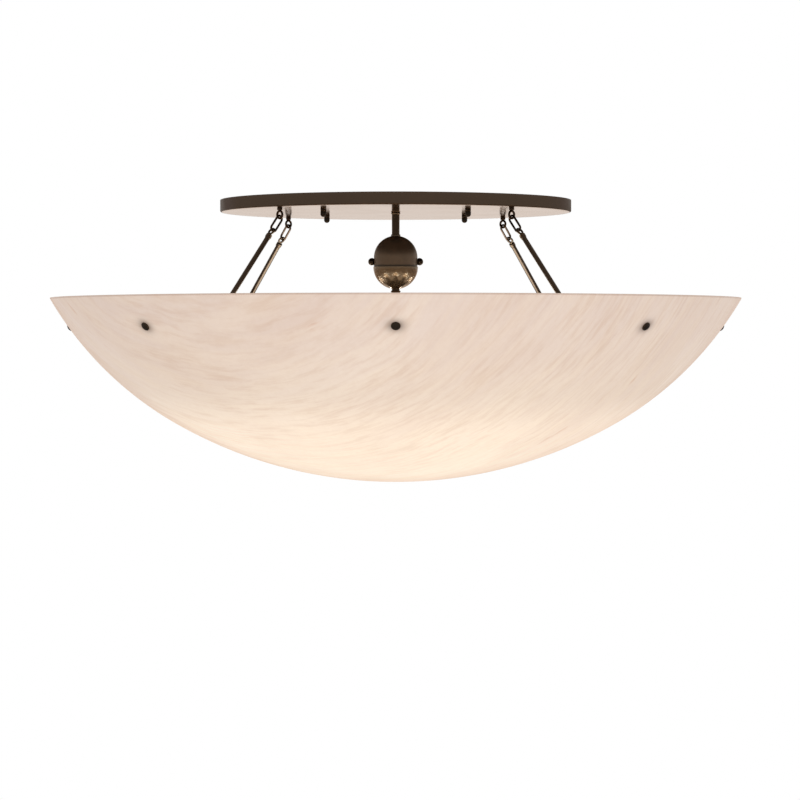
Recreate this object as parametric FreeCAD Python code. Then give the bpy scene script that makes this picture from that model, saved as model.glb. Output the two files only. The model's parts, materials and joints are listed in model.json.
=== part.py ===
import FreeCAD, Part
import math
import os

# Semi flush ceiling light: a wide shallow bowl hung by four rods and chain links from a round pan.
# Millimetres, +Z up. The origin is the middle of the bracket's top face, in the ceiling plane, and
# the light hangs below it. -Y is the front. Azimuths are counted from +X towards +Y.

# ---------------------------------------------------------------- driving dimensions

# Clearances
STUD_FIT = 0.05            # radial, a threaded rod or screw in its tapped hole or nut
TURNING_FIT = 0.08         # radial, a piece that is screwed in and out by hand
HOLE_CLEARANCE = 0.35      # radial, a bolt in its clearance hole
SEAT_GAP = 0.25            # between curved pieces that bear on each other
WALL_GAP = 0.05            # between flat pieces and the bowl's curved wall, at the nearest point

# Ceiling pan, a shallow dish open towards the ceiling
PAN_RADIUS = 233.0
PAN_HEIGHT = 16.0
PAN_SHEET = 1.5
PAN_CORNER = 2.0

# Ceiling bracket, a round plate with four arms
BRACKET_SHEET = 3.0
BRACKET_PLATE_RADIUS = 62.0
BRACKET_WIRE_HOLE_RADIUS = 12.0
ARM_WIDTH = 26.0
ARM_REACH = 192.0
BOX_SCREW_SPACING = 88.9
BOX_SLOT_LENGTH = 16.0
BOX_SLOT_WIDTH = 5.2
JOIST_HOLE_FROM_ARM_END = 20.0
JOIST_HOLE_RADIUS = 3.0
GROUND_SCREW_RADIUS = 2.0
GROUND_SCREW_HEAD_RADIUS = 4.2
GROUND_SCREW_HEAD_HEIGHT = 2.4
GROUND_SCREW_OFFSET = 30.0

# Studs that hold the pan, and their cap nuts
STUD_CIRCLE_RADIUS = 132.6
STUD_RADIUS = 2.4
STUD_BELOW_PAN = 6.5
LOCK_NUT_FLATS = 8.0
LOCK_NUT_HEIGHT = 3.2
CAP_NUT_RADIUS = 3.85
CAP_NUT_LENGTH = 10.0

# Stem, a threaded pipe from the pan to the lamp cluster
STEM_RADIUS = 5.15
STEM_BORE_RADIUS = 3.6
STEM_TOP_BELOW_CEILING = 5.0
STEM_NUT_FLATS = 14.0
STEM_NUT_HEIGHT = 4.0
STEM_COLLAR_RADIUS = 6.2
STEM_COLLAR_HEIGHT = 2.5

# Two-part ball on the stem
BALL_SHELL = 1.2
BALL_UPPER_RADIUS = 28.95
BALL_UPPER_CENTRE_DROP = 75.8
BALL_LOWER_RADIUS = 29.8
BALL_LOWER_CENTRE_DROP = 88.0
BALL_SKIRT_OVERLAP = 2.2
BALL_SKIRT_GAP = 0.1
BALL_NECK_RADIUS = 6.3
BALL_NECK_HEIGHT = 2.4
BALL_SCREW_DROP = 81.4
BALL_SCREW_RADIUS = 2.0
BALL_KNOB_RADIUS = 5.0
BALL_KNOB_REACH = 36.6
STRAP_SHEET = 3.0
STRAP_WIDTH = 12.0
STRAP_HALF_SPAN = 26.4
STRAP_DROP = 88.4

# Lamp cluster below the ball
NECK_TOP_DROP = 119.8
NECK_TOP_RADIUS = 5.9
NECK_THROAT_RADIUS = 8.0
NECK_THROAT_DROP = 126.0
NECK_FOOT_RADIUS = 22.0
NECK_FOOT_DROP = 141.0
NECK_FOOT_EDGE = 1.5
HUB_RADIUS = 36.0
HUB_HEIGHT = 46.0
HUB_WALL = 2.0
HUB_CORNER = 8.0
HUB_COVER_SHEET = 2.0
HUB_COVER_DISH = 5.0
FINIAL_RADIUS = 9.0
FINIAL_HEIGHT = 12.0
FINIAL_CROWN = 4.5
LAMP_COUNT = 6
LAMP_TILT = 15.0
LAMP_AXIS_DROP = 163.0
SOCKET_RADIUS = 17.5
SOCKET_LENGTH = 45.0
SOCKET_START = 41.0
SOCKET_SHOULDER = 6.0
SOCKET_NIPPLE_RADIUS = 5.0
SOCKET_NIPPLE_LENGTH = 10.0
BULB_BASE_RADIUS = 13.2
BULB_BASE_LENGTH = 25.0
BULB_CONTACT_RADIUS = 4.5
BULB_CONTACT_HEIGHT = 2.0
BULB_GLASS_RADIUS = 30.0
BULB_GLASS_LENGTH = 81.0
BULB_NECK_RADIUS = 13.0

# Pan eyes, chain links and rods. Each hanger is in line from the eye to the bowl frame.
EYE_FROM_PAN_EDGE = 23.5
EYE_DROP = 9.3             # from the pan's underside to the middle of the eye's ring
EYE_RING_RADIUS = 4.7
EYE_WIRE_RADIUS = 1.5
EYE_SHOULDER_RADIUS = 3.4
EYE_SHANK_RADIUS = 2.4
EYE_SHANK_ABOVE_NUT = 1.2
EYE_NUT_FLATS = 9.0
EYE_NUT_HEIGHT = 3.6
EYE_WASHER_RADIUS = 6.5
EYE_WASHER_SHEET = 1.0
LINK_WIRE_RADIUS = 1.4
LINK_HALF_WIDTH = 4.35     # of the wire's centre line
LINK_LENGTH = 24.0         # of the wire's centre line
LINK_PLAY = 0.1
ROD_RADIUS = 3.175
ROD_EYE_RADIUS = 4.2
ROD_EYE_WIRE_RADIUS = 1.4
FERRULE_RADIUS = 4.0
FERRULE_LENGTH = 7.0
FERRULE_TAPER = 3.0
ROD_HOOK_RADIUS = 5.5
ROD_HOOK_WIRE_RADIUS = 1.6
SWAY_PLAY = 1.0            # lets the rod's lower ring rise as the bowl sways

# Bowl
BOWL_RIM_RADIUS = 457.2
BOWL_DEPTH = 243.5
BOWL_RIM_BELOW_PAN = 114.0
BOWL_WALL = 4.8
BOWL_LOWER_ARC_RADIUS = 585.0
BOWL_LOWER_ARC_DEGREES = 29.9
BOWL_SCREW_COUNT = 8
BOWL_SCREW_BELOW_RIM = 38.6
BOWL_SCREW_RADIUS = 2.5
BOWL_SCREW_HEAD_RADIUS = 5.7
BOWL_SCREW_HEAD_HEIGHT = 3.8
BOWL_WASHER_RADIUS = 11.0
BOWL_WASHER_THICKNESS = 1.5
BOWL_NUT_FLATS = 8.0
BOWL_NUT_HEIGHT = 4.0

# Bowl frame, a steel hoop inside the bowl with an arm to each bowl screw
HOOP_FROM_WALL = 30.4      # from the hoop's middle out to the bowl's inner wall, at the hoop's lower edge
HOOP_SHEET = 3.2
HOOP_HEIGHT = 20.0
HOOP_TOP_BELOW_PIVOT = 6.0
PIVOT_DROP = 196.0         # from the ceiling to the lower pivot of a rod
PIVOT_INSIDE_HOOP = 2.72   # from the hoop's middle in to the lower pivot
LUG_HOLE_RADIUS = 4.5
LUG_RADIUS = 8.0
LUG_SHEET = 3.0
FRAME_ARM_WIDTH = 19.0
FRAME_ARM_SHEET = 3.2
FRAME_TAB_LENGTH = 24.0

# ---------------------------------------------------------------- places worked out from them

UP = FreeCAD.Vector(0, 0, 1)
ALONG_X = FreeCAD.Vector(1, 0, 0)
ALONG_Y = FreeCAD.Vector(0, 1, 0)
ORIGIN = FreeCAD.Vector(0, 0, 0)

HANGER_AZIMUTHS = {
    "front_left": 225.0,
    "front_right": 315.0,
    "rear_left": 135.0,
    "rear_right": 45.0,
}
PAN_UNDERSIDE = -PAN_HEIGHT
PAN_FLOOR_TOP = PAN_UNDERSIDE + PAN_SHEET
STEM_BOTTOM = -NECK_FOOT_DROP - HUB_HEIGHT - HUB_COVER_SHEET - FINIAL_HEIGHT / 2
HUB_TOP = -NECK_FOOT_DROP - NECK_FOOT_EDGE
HUB_BOTTOM = HUB_TOP - HUB_HEIGHT
EYE_CENTRE_HEIGHT = PAN_UNDERSIDE - EYE_DROP
EYE_PIVOT_HEIGHT = EYE_CENTRE_HEIGHT - EYE_RING_RADIUS
EYE_CIRCLE_RADIUS = PAN_RADIUS - EYE_FROM_PAN_EDGE
JOIST_HOLE_CIRCLE_RADIUS = ARM_REACH - JOIST_HOLE_FROM_ARM_END
BOWL_RIM_HEIGHT = PAN_UNDERSIDE - BOWL_RIM_BELOW_PAN
BOWL_BOTTOM_HEIGHT = BOWL_RIM_HEIGHT - BOWL_DEPTH
HOOP_TOP_HEIGHT = -PIVOT_DROP - HOOP_TOP_BELOW_PIVOT


def bowl_arcs():
    """Centre and radius of the upper arc of the bowl's outer outline, and where the two arcs meet.

    The lower arc is centred on the axis; the upper one runs on from it smoothly to the rim.
    """
    angle = math.radians(BOWL_LOWER_ARC_DEGREES)
    meet_r = BOWL_LOWER_ARC_RADIUS * math.sin(angle)
    meet_z = BOWL_BOTTOM_HEIGHT + BOWL_LOWER_ARC_RADIUS * (1 - math.cos(angle))
    run_r = BOWL_RIM_RADIUS - meet_r
    run_z = BOWL_RIM_HEIGHT - meet_z
    towards_centre = -run_r * math.sin(angle) + run_z * math.cos(angle)
    radius = (run_r ** 2 + run_z ** 2) / (2 * towards_centre)
    centre = (meet_r - radius * math.sin(angle), meet_z + radius * math.cos(angle))
    return centre, radius, angle


def bowl_radius_at(height, inset=0.0):
    """Radius of the bowl's upper wall at a height, inset along the wall's normal."""
    centre, radius, _ = bowl_arcs()
    reach = radius - inset
    return centre[0] + math.sqrt(reach ** 2 - (centre[1] - height) ** 2)


HOOP_RADIUS = bowl_radius_at(HOOP_TOP_HEIGHT - HOOP_HEIGHT, BOWL_WALL) - HOOP_FROM_WALL
PIVOT_RADIUS = HOOP_RADIUS - PIVOT_INSIDE_HOOP
ROD_SPREAD = (PIVOT_RADIUS - EYE_CIRCLE_RADIUS) / (EYE_PIVOT_HEIGHT + PIVOT_DROP)  # run for each mm of drop
ROD_LEAN = math.degrees(math.atan(ROD_SPREAD))
ROD_COSINE = math.cos(math.radians(ROD_LEAN))


# ---------------------------------------------------------------- helpers

def point(x, z):
    """A point of a profile in the XZ plane."""
    return FreeCAD.Vector(x, 0, z)


def profile(start, *steps):
    """A closed flat face in the XZ plane.

    Each step is an end point (x, z), reached in a straight run, or a pair
    ((x, z), (x, z)) of a point on the way and an end point, reached in an arc.
    """
    edges = []
    here = start
    for step in steps + (start,):
        if isinstance(step[0], tuple):
            middle, end = step
            arc = Part.Arc(point(*here), point(*middle), point(*end))
            edges.append(arc.toShape())
        else:
            end = step
            if math.dist(here, end) < 1e-7:
                continue
            edges.append(Part.LineSegment(point(*here), point(*end)).toShape())
        here = end
    return Part.Face(Part.Wire(edges))


def turned(start, *steps):
    """The solid that a profile sweeps in a full turn about the Z axis."""
    return profile(start, *steps).revolve(ORIGIN, UP, 360)


def tube(outer_radius, inner_radius, bottom, top):
    """An upright tube about the Z axis."""
    return turned((inner_radius, bottom), (outer_radius, bottom), (outer_radius, top), (inner_radius, top))


def rod_between(radius, bottom, top):
    """An upright cylinder about the Z axis."""
    return Part.makeCylinder(radius, top - bottom, FreeCAD.Vector(0, 0, bottom))


def hex_nut(flats, hole_radius, bottom, top):
    """An upright hexagon nut about the Z axis, with its corners turned down."""
    corner = flats / math.sqrt(3)
    bevel = (corner - flats / 2) * 0.6
    angles = [math.radians(60 * k) for k in range(7)]
    corners = [FreeCAD.Vector(corner * math.cos(a), corner * math.sin(a), bottom) for a in angles]
    prism = Part.Face(Part.makePolygon(corners)).extrude(FreeCAD.Vector(0, 0, top - bottom))
    blank = turned(
        (0, bottom), (corner - bevel, bottom), (corner, bottom + bevel),
        (corner, top - bevel), (corner - bevel, top), (0, top),
    )
    return prism.common(blank).cut(rod_between(hole_radius, bottom, top))


def placed(shape, position=ORIGIN, axis=UP, degrees=0.0):
    """A copy of a shape, turned about an axis through the origin and then moved."""
    copy = shape.copy()
    turn = FreeCAD.Placement(position, FreeCAD.Rotation(axis, degrees))
    copy.Placement = turn.multiply(copy.Placement)
    return copy


def around(shape, azimuth):
    """A copy of a shape made at azimuth 0, turned about the Z axis."""
    return placed(shape, axis=UP, degrees=azimuth)


def ring_of(shape, azimuths):
    """One compound of separate copies of a shape, one at each azimuth."""
    return Part.makeCompound([around(shape, azimuth) for azimuth in azimuths])


def fused(first, *others):
    """One solid from pieces that are welded or moulded together."""
    joined = first.fuse(list(others)).removeSplitter()
    return joined.Solids[0] if len(joined.Solids) == 1 else joined


def sphere_arc(radius, centre_height, start_radius, end_radius, side):
    """Middle and end of an arc on a sphere about the Z axis, above (side 1) or below (side -1) its centre."""
    start_angle = math.acos(start_radius / radius)
    end_angle = math.acos(end_radius / radius)
    middle_angle = (start_angle + end_angle) / 2

    def on_arc(angle):
        return (radius * math.cos(angle), centre_height + side * radius * math.sin(angle))

    return on_arc(start_angle), on_arc(middle_angle), on_arc(end_angle)


def cap_arc(radius, base, height):
    """Middle and end of the arc from (radius, base) to the Z axis, height above (or below) the base.

    The arc lies on a sphere about the Z axis, so it meets the axis squarely.
    """
    side = 1 if height > 0 else -1
    sphere = (radius ** 2 + height ** 2) / (2 * abs(height))
    half_angle = math.atan2(radius, sphere - abs(height)) / 2
    centre = base + height - side * sphere
    middle = (sphere * math.sin(half_angle), centre + side * sphere * math.cos(half_angle))
    return middle, (0, base + height)


# ---------------------------------------------------------------- pan and bracket

def ceiling_pan():
    """The shallow dish, with holes for the stem, the four eyes and the four studs."""
    inner = PAN_RADIUS - PAN_SHEET
    inner_corner = PAN_CORNER - PAN_SHEET
    bend = math.sqrt(0.5)
    outer_middle = (PAN_RADIUS - PAN_CORNER * (1 - bend), PAN_UNDERSIDE + PAN_CORNER * (1 - bend))
    inner_middle = (inner - inner_corner * (1 - bend), PAN_FLOOR_TOP + inner_corner * (1 - bend))
    dish = turned(
        (0, PAN_UNDERSIDE),
        (PAN_RADIUS - PAN_CORNER, PAN_UNDERSIDE),
        (outer_middle, (PAN_RADIUS, PAN_UNDERSIDE + PAN_CORNER)),
        (PAN_RADIUS, 0),
        (inner, 0),
        (inner, PAN_FLOOR_TOP + inner_corner),
        (inner_middle, (inner - inner_corner, PAN_FLOOR_TOP)),
        (0, PAN_FLOOR_TOP),
    )
    holes = [rod_between(STEM_RADIUS + HOLE_CLEARANCE, PAN_UNDERSIDE, PAN_FLOOR_TOP)]
    for azimuth in HANGER_AZIMUTHS.values():
        for circle, radius in ((EYE_CIRCLE_RADIUS, EYE_SHANK_RADIUS), (STUD_CIRCLE_RADIUS, STUD_RADIUS)):
            hole = rod_between(radius + HOLE_CLEARANCE, PAN_UNDERSIDE, PAN_FLOOR_TOP)
            holes.append(around(placed(hole, FreeCAD.Vector(circle, 0, 0)), azimuth))
    return dish.cut(holes)


def box_slot():
    """Cutter for one outlet box slot, centred on the Z axis and running along X."""
    straight = BOX_SLOT_LENGTH - BOX_SLOT_WIDTH
    middle = Part.makeBox(
        straight, BOX_SLOT_WIDTH, BRACKET_SHEET,
        FreeCAD.Vector(-straight / 2, -BOX_SLOT_WIDTH / 2, -BRACKET_SHEET),
    )
    ends = [
        placed(rod_between(BOX_SLOT_WIDTH / 2, -BRACKET_SHEET, 0), FreeCAD.Vector(side * straight / 2, 0, 0))
        for side in (-1, 1)
    ]
    return fused(middle, *ends)


def ceiling_bracket():
    """The round plate and its four arms, with box slots, joist holes, stud holes and a wire hole."""
    plate = rod_between(BRACKET_PLATE_RADIUS, -BRACKET_SHEET, 0)
    arms = []
    holes = [rod_between(BRACKET_WIRE_HOLE_RADIUS, -BRACKET_SHEET, 0)]
    straight_reach = ARM_REACH - ARM_WIDTH / 2
    for azimuth in HANGER_AZIMUTHS.values():
        arm = Part.makeBox(
            straight_reach, ARM_WIDTH, BRACKET_SHEET, FreeCAD.Vector(0, -ARM_WIDTH / 2, -BRACKET_SHEET)
        )
        arms.append(around(arm, azimuth))
        arm_end = placed(rod_between(ARM_WIDTH / 2, -BRACKET_SHEET, 0), FreeCAD.Vector(straight_reach, 0, 0))
        arms.append(around(arm_end, azimuth))
        for circle, radius in (
            (STUD_CIRCLE_RADIUS, STUD_RADIUS + STUD_FIT), (JOIST_HOLE_CIRCLE_RADIUS, JOIST_HOLE_RADIUS),
        ):
            hole = placed(rod_between(radius, -BRACKET_SHEET, 0), FreeCAD.Vector(circle, 0, 0))
            holes.append(around(hole, azimuth))
    for side in (-1, 1):
        holes.append(placed(box_slot(), FreeCAD.Vector(side * BOX_SCREW_SPACING / 2, 0, 0)))
    ground_hole = rod_between(GROUND_SCREW_RADIUS + STUD_FIT, -BRACKET_SHEET, 0)
    holes.append(placed(ground_hole, FreeCAD.Vector(0, GROUND_SCREW_OFFSET, 0)))
    return fused(plate, *arms).cut(holes)


def ground_screw():
    """The earthing screw in the bracket, with a domed head on the underside."""
    head_top = -BRACKET_SHEET
    screw = turned(
        (0, -SEAT_GAP),
        (GROUND_SCREW_RADIUS, -SEAT_GAP),
        (GROUND_SCREW_RADIUS, head_top),
        (GROUND_SCREW_HEAD_RADIUS, head_top),
        cap_arc(GROUND_SCREW_HEAD_RADIUS, head_top, -GROUND_SCREW_HEAD_HEIGHT),
    )
    return placed(screw, FreeCAD.Vector(0, GROUND_SCREW_OFFSET, 0))


def bracket_studs():
    """Four threaded studs from the bracket, through the pan, into the cap nuts."""
    stud = rod_between(STUD_RADIUS, PAN_UNDERSIDE - STUD_BELOW_PAN, -SEAT_GAP)
    return ring_of(placed(stud, FreeCAD.Vector(STUD_CIRCLE_RADIUS, 0, 0)), HANGER_AZIMUTHS.values())


def stud_lock_nuts():
    """The nuts that lock the studs against the bracket."""
    nut = hex_nut(LOCK_NUT_FLATS, STUD_RADIUS + STUD_FIT, -BRACKET_SHEET - LOCK_NUT_HEIGHT, -BRACKET_SHEET)
    return ring_of(placed(nut, FreeCAD.Vector(STUD_CIRCLE_RADIUS, 0, 0)), HANGER_AZIMUTHS.values())


def cap_nut(azimuth):
    """A bullet-shaped nut under the pan, with a blind tapped hole for its stud."""
    bottom = PAN_UNDERSIDE - CAP_NUT_LENGTH
    straight = PAN_UNDERSIDE - (CAP_NUT_LENGTH - CAP_NUT_RADIUS)
    bore = STUD_RADIUS + TURNING_FIT
    bore_end = PAN_UNDERSIDE - STUD_BELOW_PAN - SEAT_GAP
    nose = CAP_NUT_RADIUS * math.sqrt(0.5)
    nut = turned(
        (0, bottom),
        ((nose, straight - nose), (CAP_NUT_RADIUS, straight)),
        (CAP_NUT_RADIUS, PAN_UNDERSIDE),
        (bore, PAN_UNDERSIDE),
        (bore, bore_end),
        (0, bore_end),
    )
    return around(placed(nut, FreeCAD.Vector(STUD_CIRCLE_RADIUS, 0, 0)), azimuth)


# ---------------------------------------------------------------- stem and ball

def stem_pipe():
    """The pipe that carries the ball and the lamp cluster and brings the wires down."""
    return tube(STEM_RADIUS, STEM_BORE_RADIUS, STEM_BOTTOM, -STEM_TOP_BELOW_CEILING)


def stem_lock_nuts():
    """Nuts on the stem: one on the pan's floor and one under the top of the lamp hub."""
    bore = STEM_RADIUS + STUD_FIT
    upper = hex_nut(STEM_NUT_FLATS, bore, PAN_FLOOR_TOP, PAN_FLOOR_TOP + STEM_NUT_HEIGHT)
    hub_ceiling = HUB_TOP - HUB_WALL
    lower = hex_nut(STEM_NUT_FLATS, bore, hub_ceiling - STEM_NUT_HEIGHT, hub_ceiling)
    return Part.makeCompound([upper, lower])


def stem_collar():
    """The turned ring on the stem, right under the pan."""
    bottom = PAN_UNDERSIDE - STEM_COLLAR_HEIGHT
    bore = STEM_RADIUS + STUD_FIT
    waist = STEM_COLLAR_RADIUS - 0.5
    middle = (bottom + PAN_UNDERSIDE) / 2
    return turned(
        (bore, bottom), (waist, bottom),
        ((STEM_COLLAR_RADIUS, middle), (waist, PAN_UNDERSIDE)),
        (bore, PAN_UNDERSIDE),
    )


def ball_upper_shell():
    """The upper half of the ball: a dome with a neck round the stem and a straight skirt below."""
    bore = STEM_RADIUS + STUD_FIT
    centre = -BALL_UPPER_CENTRE_DROP
    skirt_end = -BALL_LOWER_CENTRE_DROP - BALL_SKIRT_OVERLAP
    inner_radius = BALL_UPPER_RADIUS - BALL_SHELL
    outer = sphere_arc(BALL_UPPER_RADIUS, centre, BALL_UPPER_RADIUS, BALL_NECK_RADIUS, 1)
    inner = sphere_arc(inner_radius, centre, bore, inner_radius, 1)
    neck_top = outer[2][1] + BALL_NECK_HEIGHT
    shell = turned(
        (inner_radius, skirt_end),
        (BALL_UPPER_RADIUS, skirt_end),
        outer[0],
        (outer[1], outer[2]),
        (BALL_NECK_RADIUS, neck_top),
        (bore, neck_top),
        inner[0],
        (inner[1], inner[2]),
    )
    screw_holes = across_ball(BALL_SCREW_RADIUS + TURNING_FIT, -BALL_UPPER_RADIUS * 2, BALL_UPPER_RADIUS * 2)
    return shell.cut([screw_holes])


def ball_lower_shell():
    """The lower half of the ball, with a lip that takes the upper half's skirt."""
    bore = STEM_RADIUS + STUD_FIT
    centre = -BALL_LOWER_CENTRE_DROP
    inner_radius = BALL_LOWER_RADIUS - BALL_SHELL
    rebate_radius = BALL_UPPER_RADIUS + BALL_SKIRT_GAP
    rebate_end = centre - BALL_SKIRT_OVERLAP - SEAT_GAP
    step_radius = math.sqrt(inner_radius ** 2 - (centre - rebate_end) ** 2)
    outer = sphere_arc(BALL_LOWER_RADIUS, centre, BALL_LOWER_RADIUS, bore, -1)
    inner = sphere_arc(inner_radius, centre, bore, step_radius, -1)
    return turned(
        (rebate_radius, centre),
        outer[0],
        (outer[1], outer[2]),
        inner[0],
        (inner[1], (step_radius, rebate_end)),
        (rebate_radius, rebate_end),
    )


def across_ball(radius, start, end):
    """A cylinder along X at the height of the ball screws."""
    return Part.makeCylinder(radius, end - start, FreeCAD.Vector(start, 0, -BALL_SCREW_DROP), ALONG_X)


def ball_strap():
    """The bent strap inside the ball; its ends are tapped for the ball screws."""
    half_width = STRAP_WIDTH / 2
    top = -STRAP_DROP
    bottom = top - STRAP_SHEET
    end_top = -BALL_SCREW_DROP + half_width
    left_corner = FreeCAD.Vector(-STRAP_HALF_SPAN, -half_width, bottom)
    right_corner = FreeCAD.Vector(STRAP_HALF_SPAN - STRAP_SHEET, -half_width, bottom)
    base = Part.makeBox(2 * STRAP_HALF_SPAN, STRAP_WIDTH, STRAP_SHEET, left_corner)
    ends = [
        Part.makeBox(STRAP_SHEET, STRAP_WIDTH, end_top - bottom, corner) for corner in (left_corner, right_corner)
    ]
    blank = fused(base, *ends)
    corner_limit = rod_between(BALL_UPPER_RADIUS - BALL_SHELL - SEAT_GAP, bottom, end_top)
    stem_hole = rod_between(STEM_RADIUS + STUD_FIT, bottom, top)
    screw_holes = across_ball(BALL_SCREW_RADIUS + TURNING_FIT, -STRAP_HALF_SPAN, STRAP_HALF_SPAN)
    return blank.common(corner_limit).cut([stem_hole, screw_holes])


def ball_strap_nuts():
    """The nuts above and below the strap on the stem."""
    bore = STEM_RADIUS + STUD_FIT
    top = -STRAP_DROP
    bottom = top - STRAP_SHEET
    above = hex_nut(STEM_NUT_FLATS, bore, top, top + STEM_NUT_HEIGHT)
    below = hex_nut(STEM_NUT_FLATS, bore, bottom - STEM_NUT_HEIGHT, bottom)
    return Part.makeCompound([above, below])


def ball_screw(side):
    """A screw with a ball knob, through the upper half's skirt into the strap."""
    seat = BALL_UPPER_RADIUS + SEAT_GAP
    centre = BALL_KNOB_REACH - BALL_KNOB_RADIUS
    seat_radius = math.sqrt(BALL_KNOB_RADIUS ** 2 - (centre - seat) ** 2)
    inner_end = STRAP_HALF_SPAN - STRAP_SHEET
    diagonal = BALL_KNOB_RADIUS * math.sqrt(0.5)
    screw = turned(
        (0, inner_end),
        (BALL_SCREW_RADIUS, inner_end),
        (BALL_SCREW_RADIUS, seat),
        (seat_radius, seat),
        ((BALL_KNOB_RADIUS, centre), (diagonal, centre + diagonal)),
        cap_arc(diagonal, centre + diagonal, BALL_KNOB_RADIUS - diagonal),
    )
    return placed(screw, FreeCAD.Vector(0, 0, -BALL_SCREW_DROP), ALONG_Y, 90 * side)


# ---------------------------------------------------------------- lamp cluster

def flared_neck():
    """The turned trumpet below the ball, on top of the lamp hub."""
    bore = STEM_RADIUS + STUD_FIT
    foot = -NECK_FOOT_DROP
    return turned(
        (bore, foot - NECK_FOOT_EDGE),
        (NECK_FOOT_RADIUS, foot - NECK_FOOT_EDGE),
        (NECK_FOOT_RADIUS, foot),
        ((NECK_THROAT_RADIUS, -NECK_THROAT_DROP), (NECK_TOP_RADIUS, -NECK_TOP_DROP)),
        (bore, -NECK_TOP_DROP),
    )


def lamp_axis_placement(number):
    """Turns a piece made along +X through the origin onto lamp axis number."""
    azimuth = (number - 0.5) * 360.0 / LAMP_COUNT
    tilt = FreeCAD.Rotation(ALONG_Y, LAMP_TILT)
    turn = FreeCAD.Rotation(UP, azimuth)
    return FreeCAD.Placement(FreeCAD.Vector(0, 0, -LAMP_AXIS_DROP), turn.multiply(tilt))


def on_lamp_axis(shape, number):
    """A copy of a piece made about the Z axis with its length along +Z, laid on lamp axis number."""
    along_x = FreeCAD.Placement(ORIGIN, FreeCAD.Rotation(ALONG_Y, 90))
    copy = shape.copy()
    copy.Placement = lamp_axis_placement(number).multiply(along_x)
    return copy


def lamp_hub():
    """The cup that the sockets screw into, open at the bottom."""
    inner = HUB_RADIUS - HUB_WALL
    ceiling = HUB_TOP - HUB_WALL
    bore = STEM_RADIUS + STUD_FIT
    inner_corner = HUB_CORNER - HUB_WALL
    bend = 1 - math.sqrt(0.5)
    cup = turned(
        (bore, HUB_TOP),
        (HUB_RADIUS - HUB_CORNER, HUB_TOP),
        ((HUB_RADIUS - HUB_CORNER * bend, HUB_TOP - HUB_CORNER * bend), (HUB_RADIUS, HUB_TOP - HUB_CORNER)),
        (HUB_RADIUS, HUB_BOTTOM),
        (inner, HUB_BOTTOM),
        (inner, ceiling - inner_corner),
        ((inner - inner_corner * bend, ceiling - inner_corner * bend), (inner - inner_corner, ceiling)),
        (bore, ceiling),
    )
    hole = rod_between(SOCKET_NIPPLE_RADIUS + STUD_FIT, 0, SOCKET_START)
    return cup.cut([on_lamp_axis(hole, number) for number in range(1, LAMP_COUNT + 1)])


def hub_cover():
    """The dished lid that closes the hub from below."""
    bore = STEM_RADIUS + STUD_FIT
    edge_top = HUB_BOTTOM
    edge_bottom = edge_top - HUB_COVER_SHEET
    rise = (HUB_RADIUS ** 2 + HUB_COVER_DISH ** 2) / (2 * HUB_COVER_DISH)

    def dish(radius, base):
        return base - (math.sqrt(rise ** 2 - radius ** 2) - math.sqrt(rise ** 2 - HUB_RADIUS ** 2))

    half = HUB_RADIUS / 2
    return turned(
        (HUB_RADIUS, edge_bottom),
        (HUB_RADIUS, edge_top),
        ((half, dish(half, edge_top)), (bore, dish(bore, edge_top))),
        (bore, dish(bore, edge_bottom)),
        ((half, dish(half, edge_bottom)), (HUB_RADIUS, edge_bottom)),
    )


def hub_finial():
    """The turned nut on the stem's lower end, which holds the cover up."""
    rise = (HUB_RADIUS ** 2 + HUB_COVER_DISH ** 2) / (2 * HUB_COVER_DISH)
    sag = math.sqrt(rise ** 2 - FINIAL_RADIUS ** 2) - math.sqrt(rise ** 2 - HUB_RADIUS ** 2)
    seat = HUB_BOTTOM - HUB_COVER_SHEET - sag - HUB_COVER_SHEET * 0.1
    bore = STEM_RADIUS + STUD_FIT
    bore_end = STEM_BOTTOM - SEAT_GAP
    return turned(
        (0, bore_end),
        (bore, bore_end),
        (bore, seat),
        (FINIAL_RADIUS, seat),
        (FINIAL_RADIUS, bore_end),
        cap_arc(FINIAL_RADIUS, bore_end, -FINIAL_CROWN),
    )


def lamp_socket(number):
    """A ceramic screw socket on its nipple, bored for the bulb's base."""
    mouth = SOCKET_START + SOCKET_LENGTH
    bore = BULB_BASE_RADIUS + TURNING_FIT
    floor = mouth - BULB_BASE_LENGTH - BULB_CONTACT_HEIGHT - SEAT_GAP
    shoulder = SOCKET_RADIUS * 0.7
    lead_in = 1.0
    socket = turned(
        (0, SOCKET_START - SOCKET_NIPPLE_LENGTH),
        (SOCKET_NIPPLE_RADIUS, SOCKET_START - SOCKET_NIPPLE_LENGTH),
        (SOCKET_NIPPLE_RADIUS, SOCKET_START),
        (shoulder, SOCKET_START),
        (SOCKET_RADIUS, SOCKET_START + SOCKET_SHOULDER),
        (SOCKET_RADIUS, mouth - lead_in),
        (SOCKET_RADIUS - lead_in, mouth),
        (bore, mouth),
        (bore, floor),
        (0, floor),
    )
    return on_lamp_axis(socket, number)


def bulb_base(number):
    """The bulb's metal screw base with its centre contact."""
    mouth = SOCKET_START + SOCKET_LENGTH
    start = mouth - BULB_BASE_LENGTH
    taper = BULB_BASE_RADIUS * 0.6
    base = turned(
        (0, start - BULB_CONTACT_HEIGHT),
        (BULB_CONTACT_RADIUS, start - BULB_CONTACT_HEIGHT),
        (taper, start),
        (BULB_BASE_RADIUS, start + BULB_CONTACT_HEIGHT * 2),
        (BULB_BASE_RADIUS, mouth),
        (0, mouth),
    )
    return on_lamp_axis(base, number)


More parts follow.
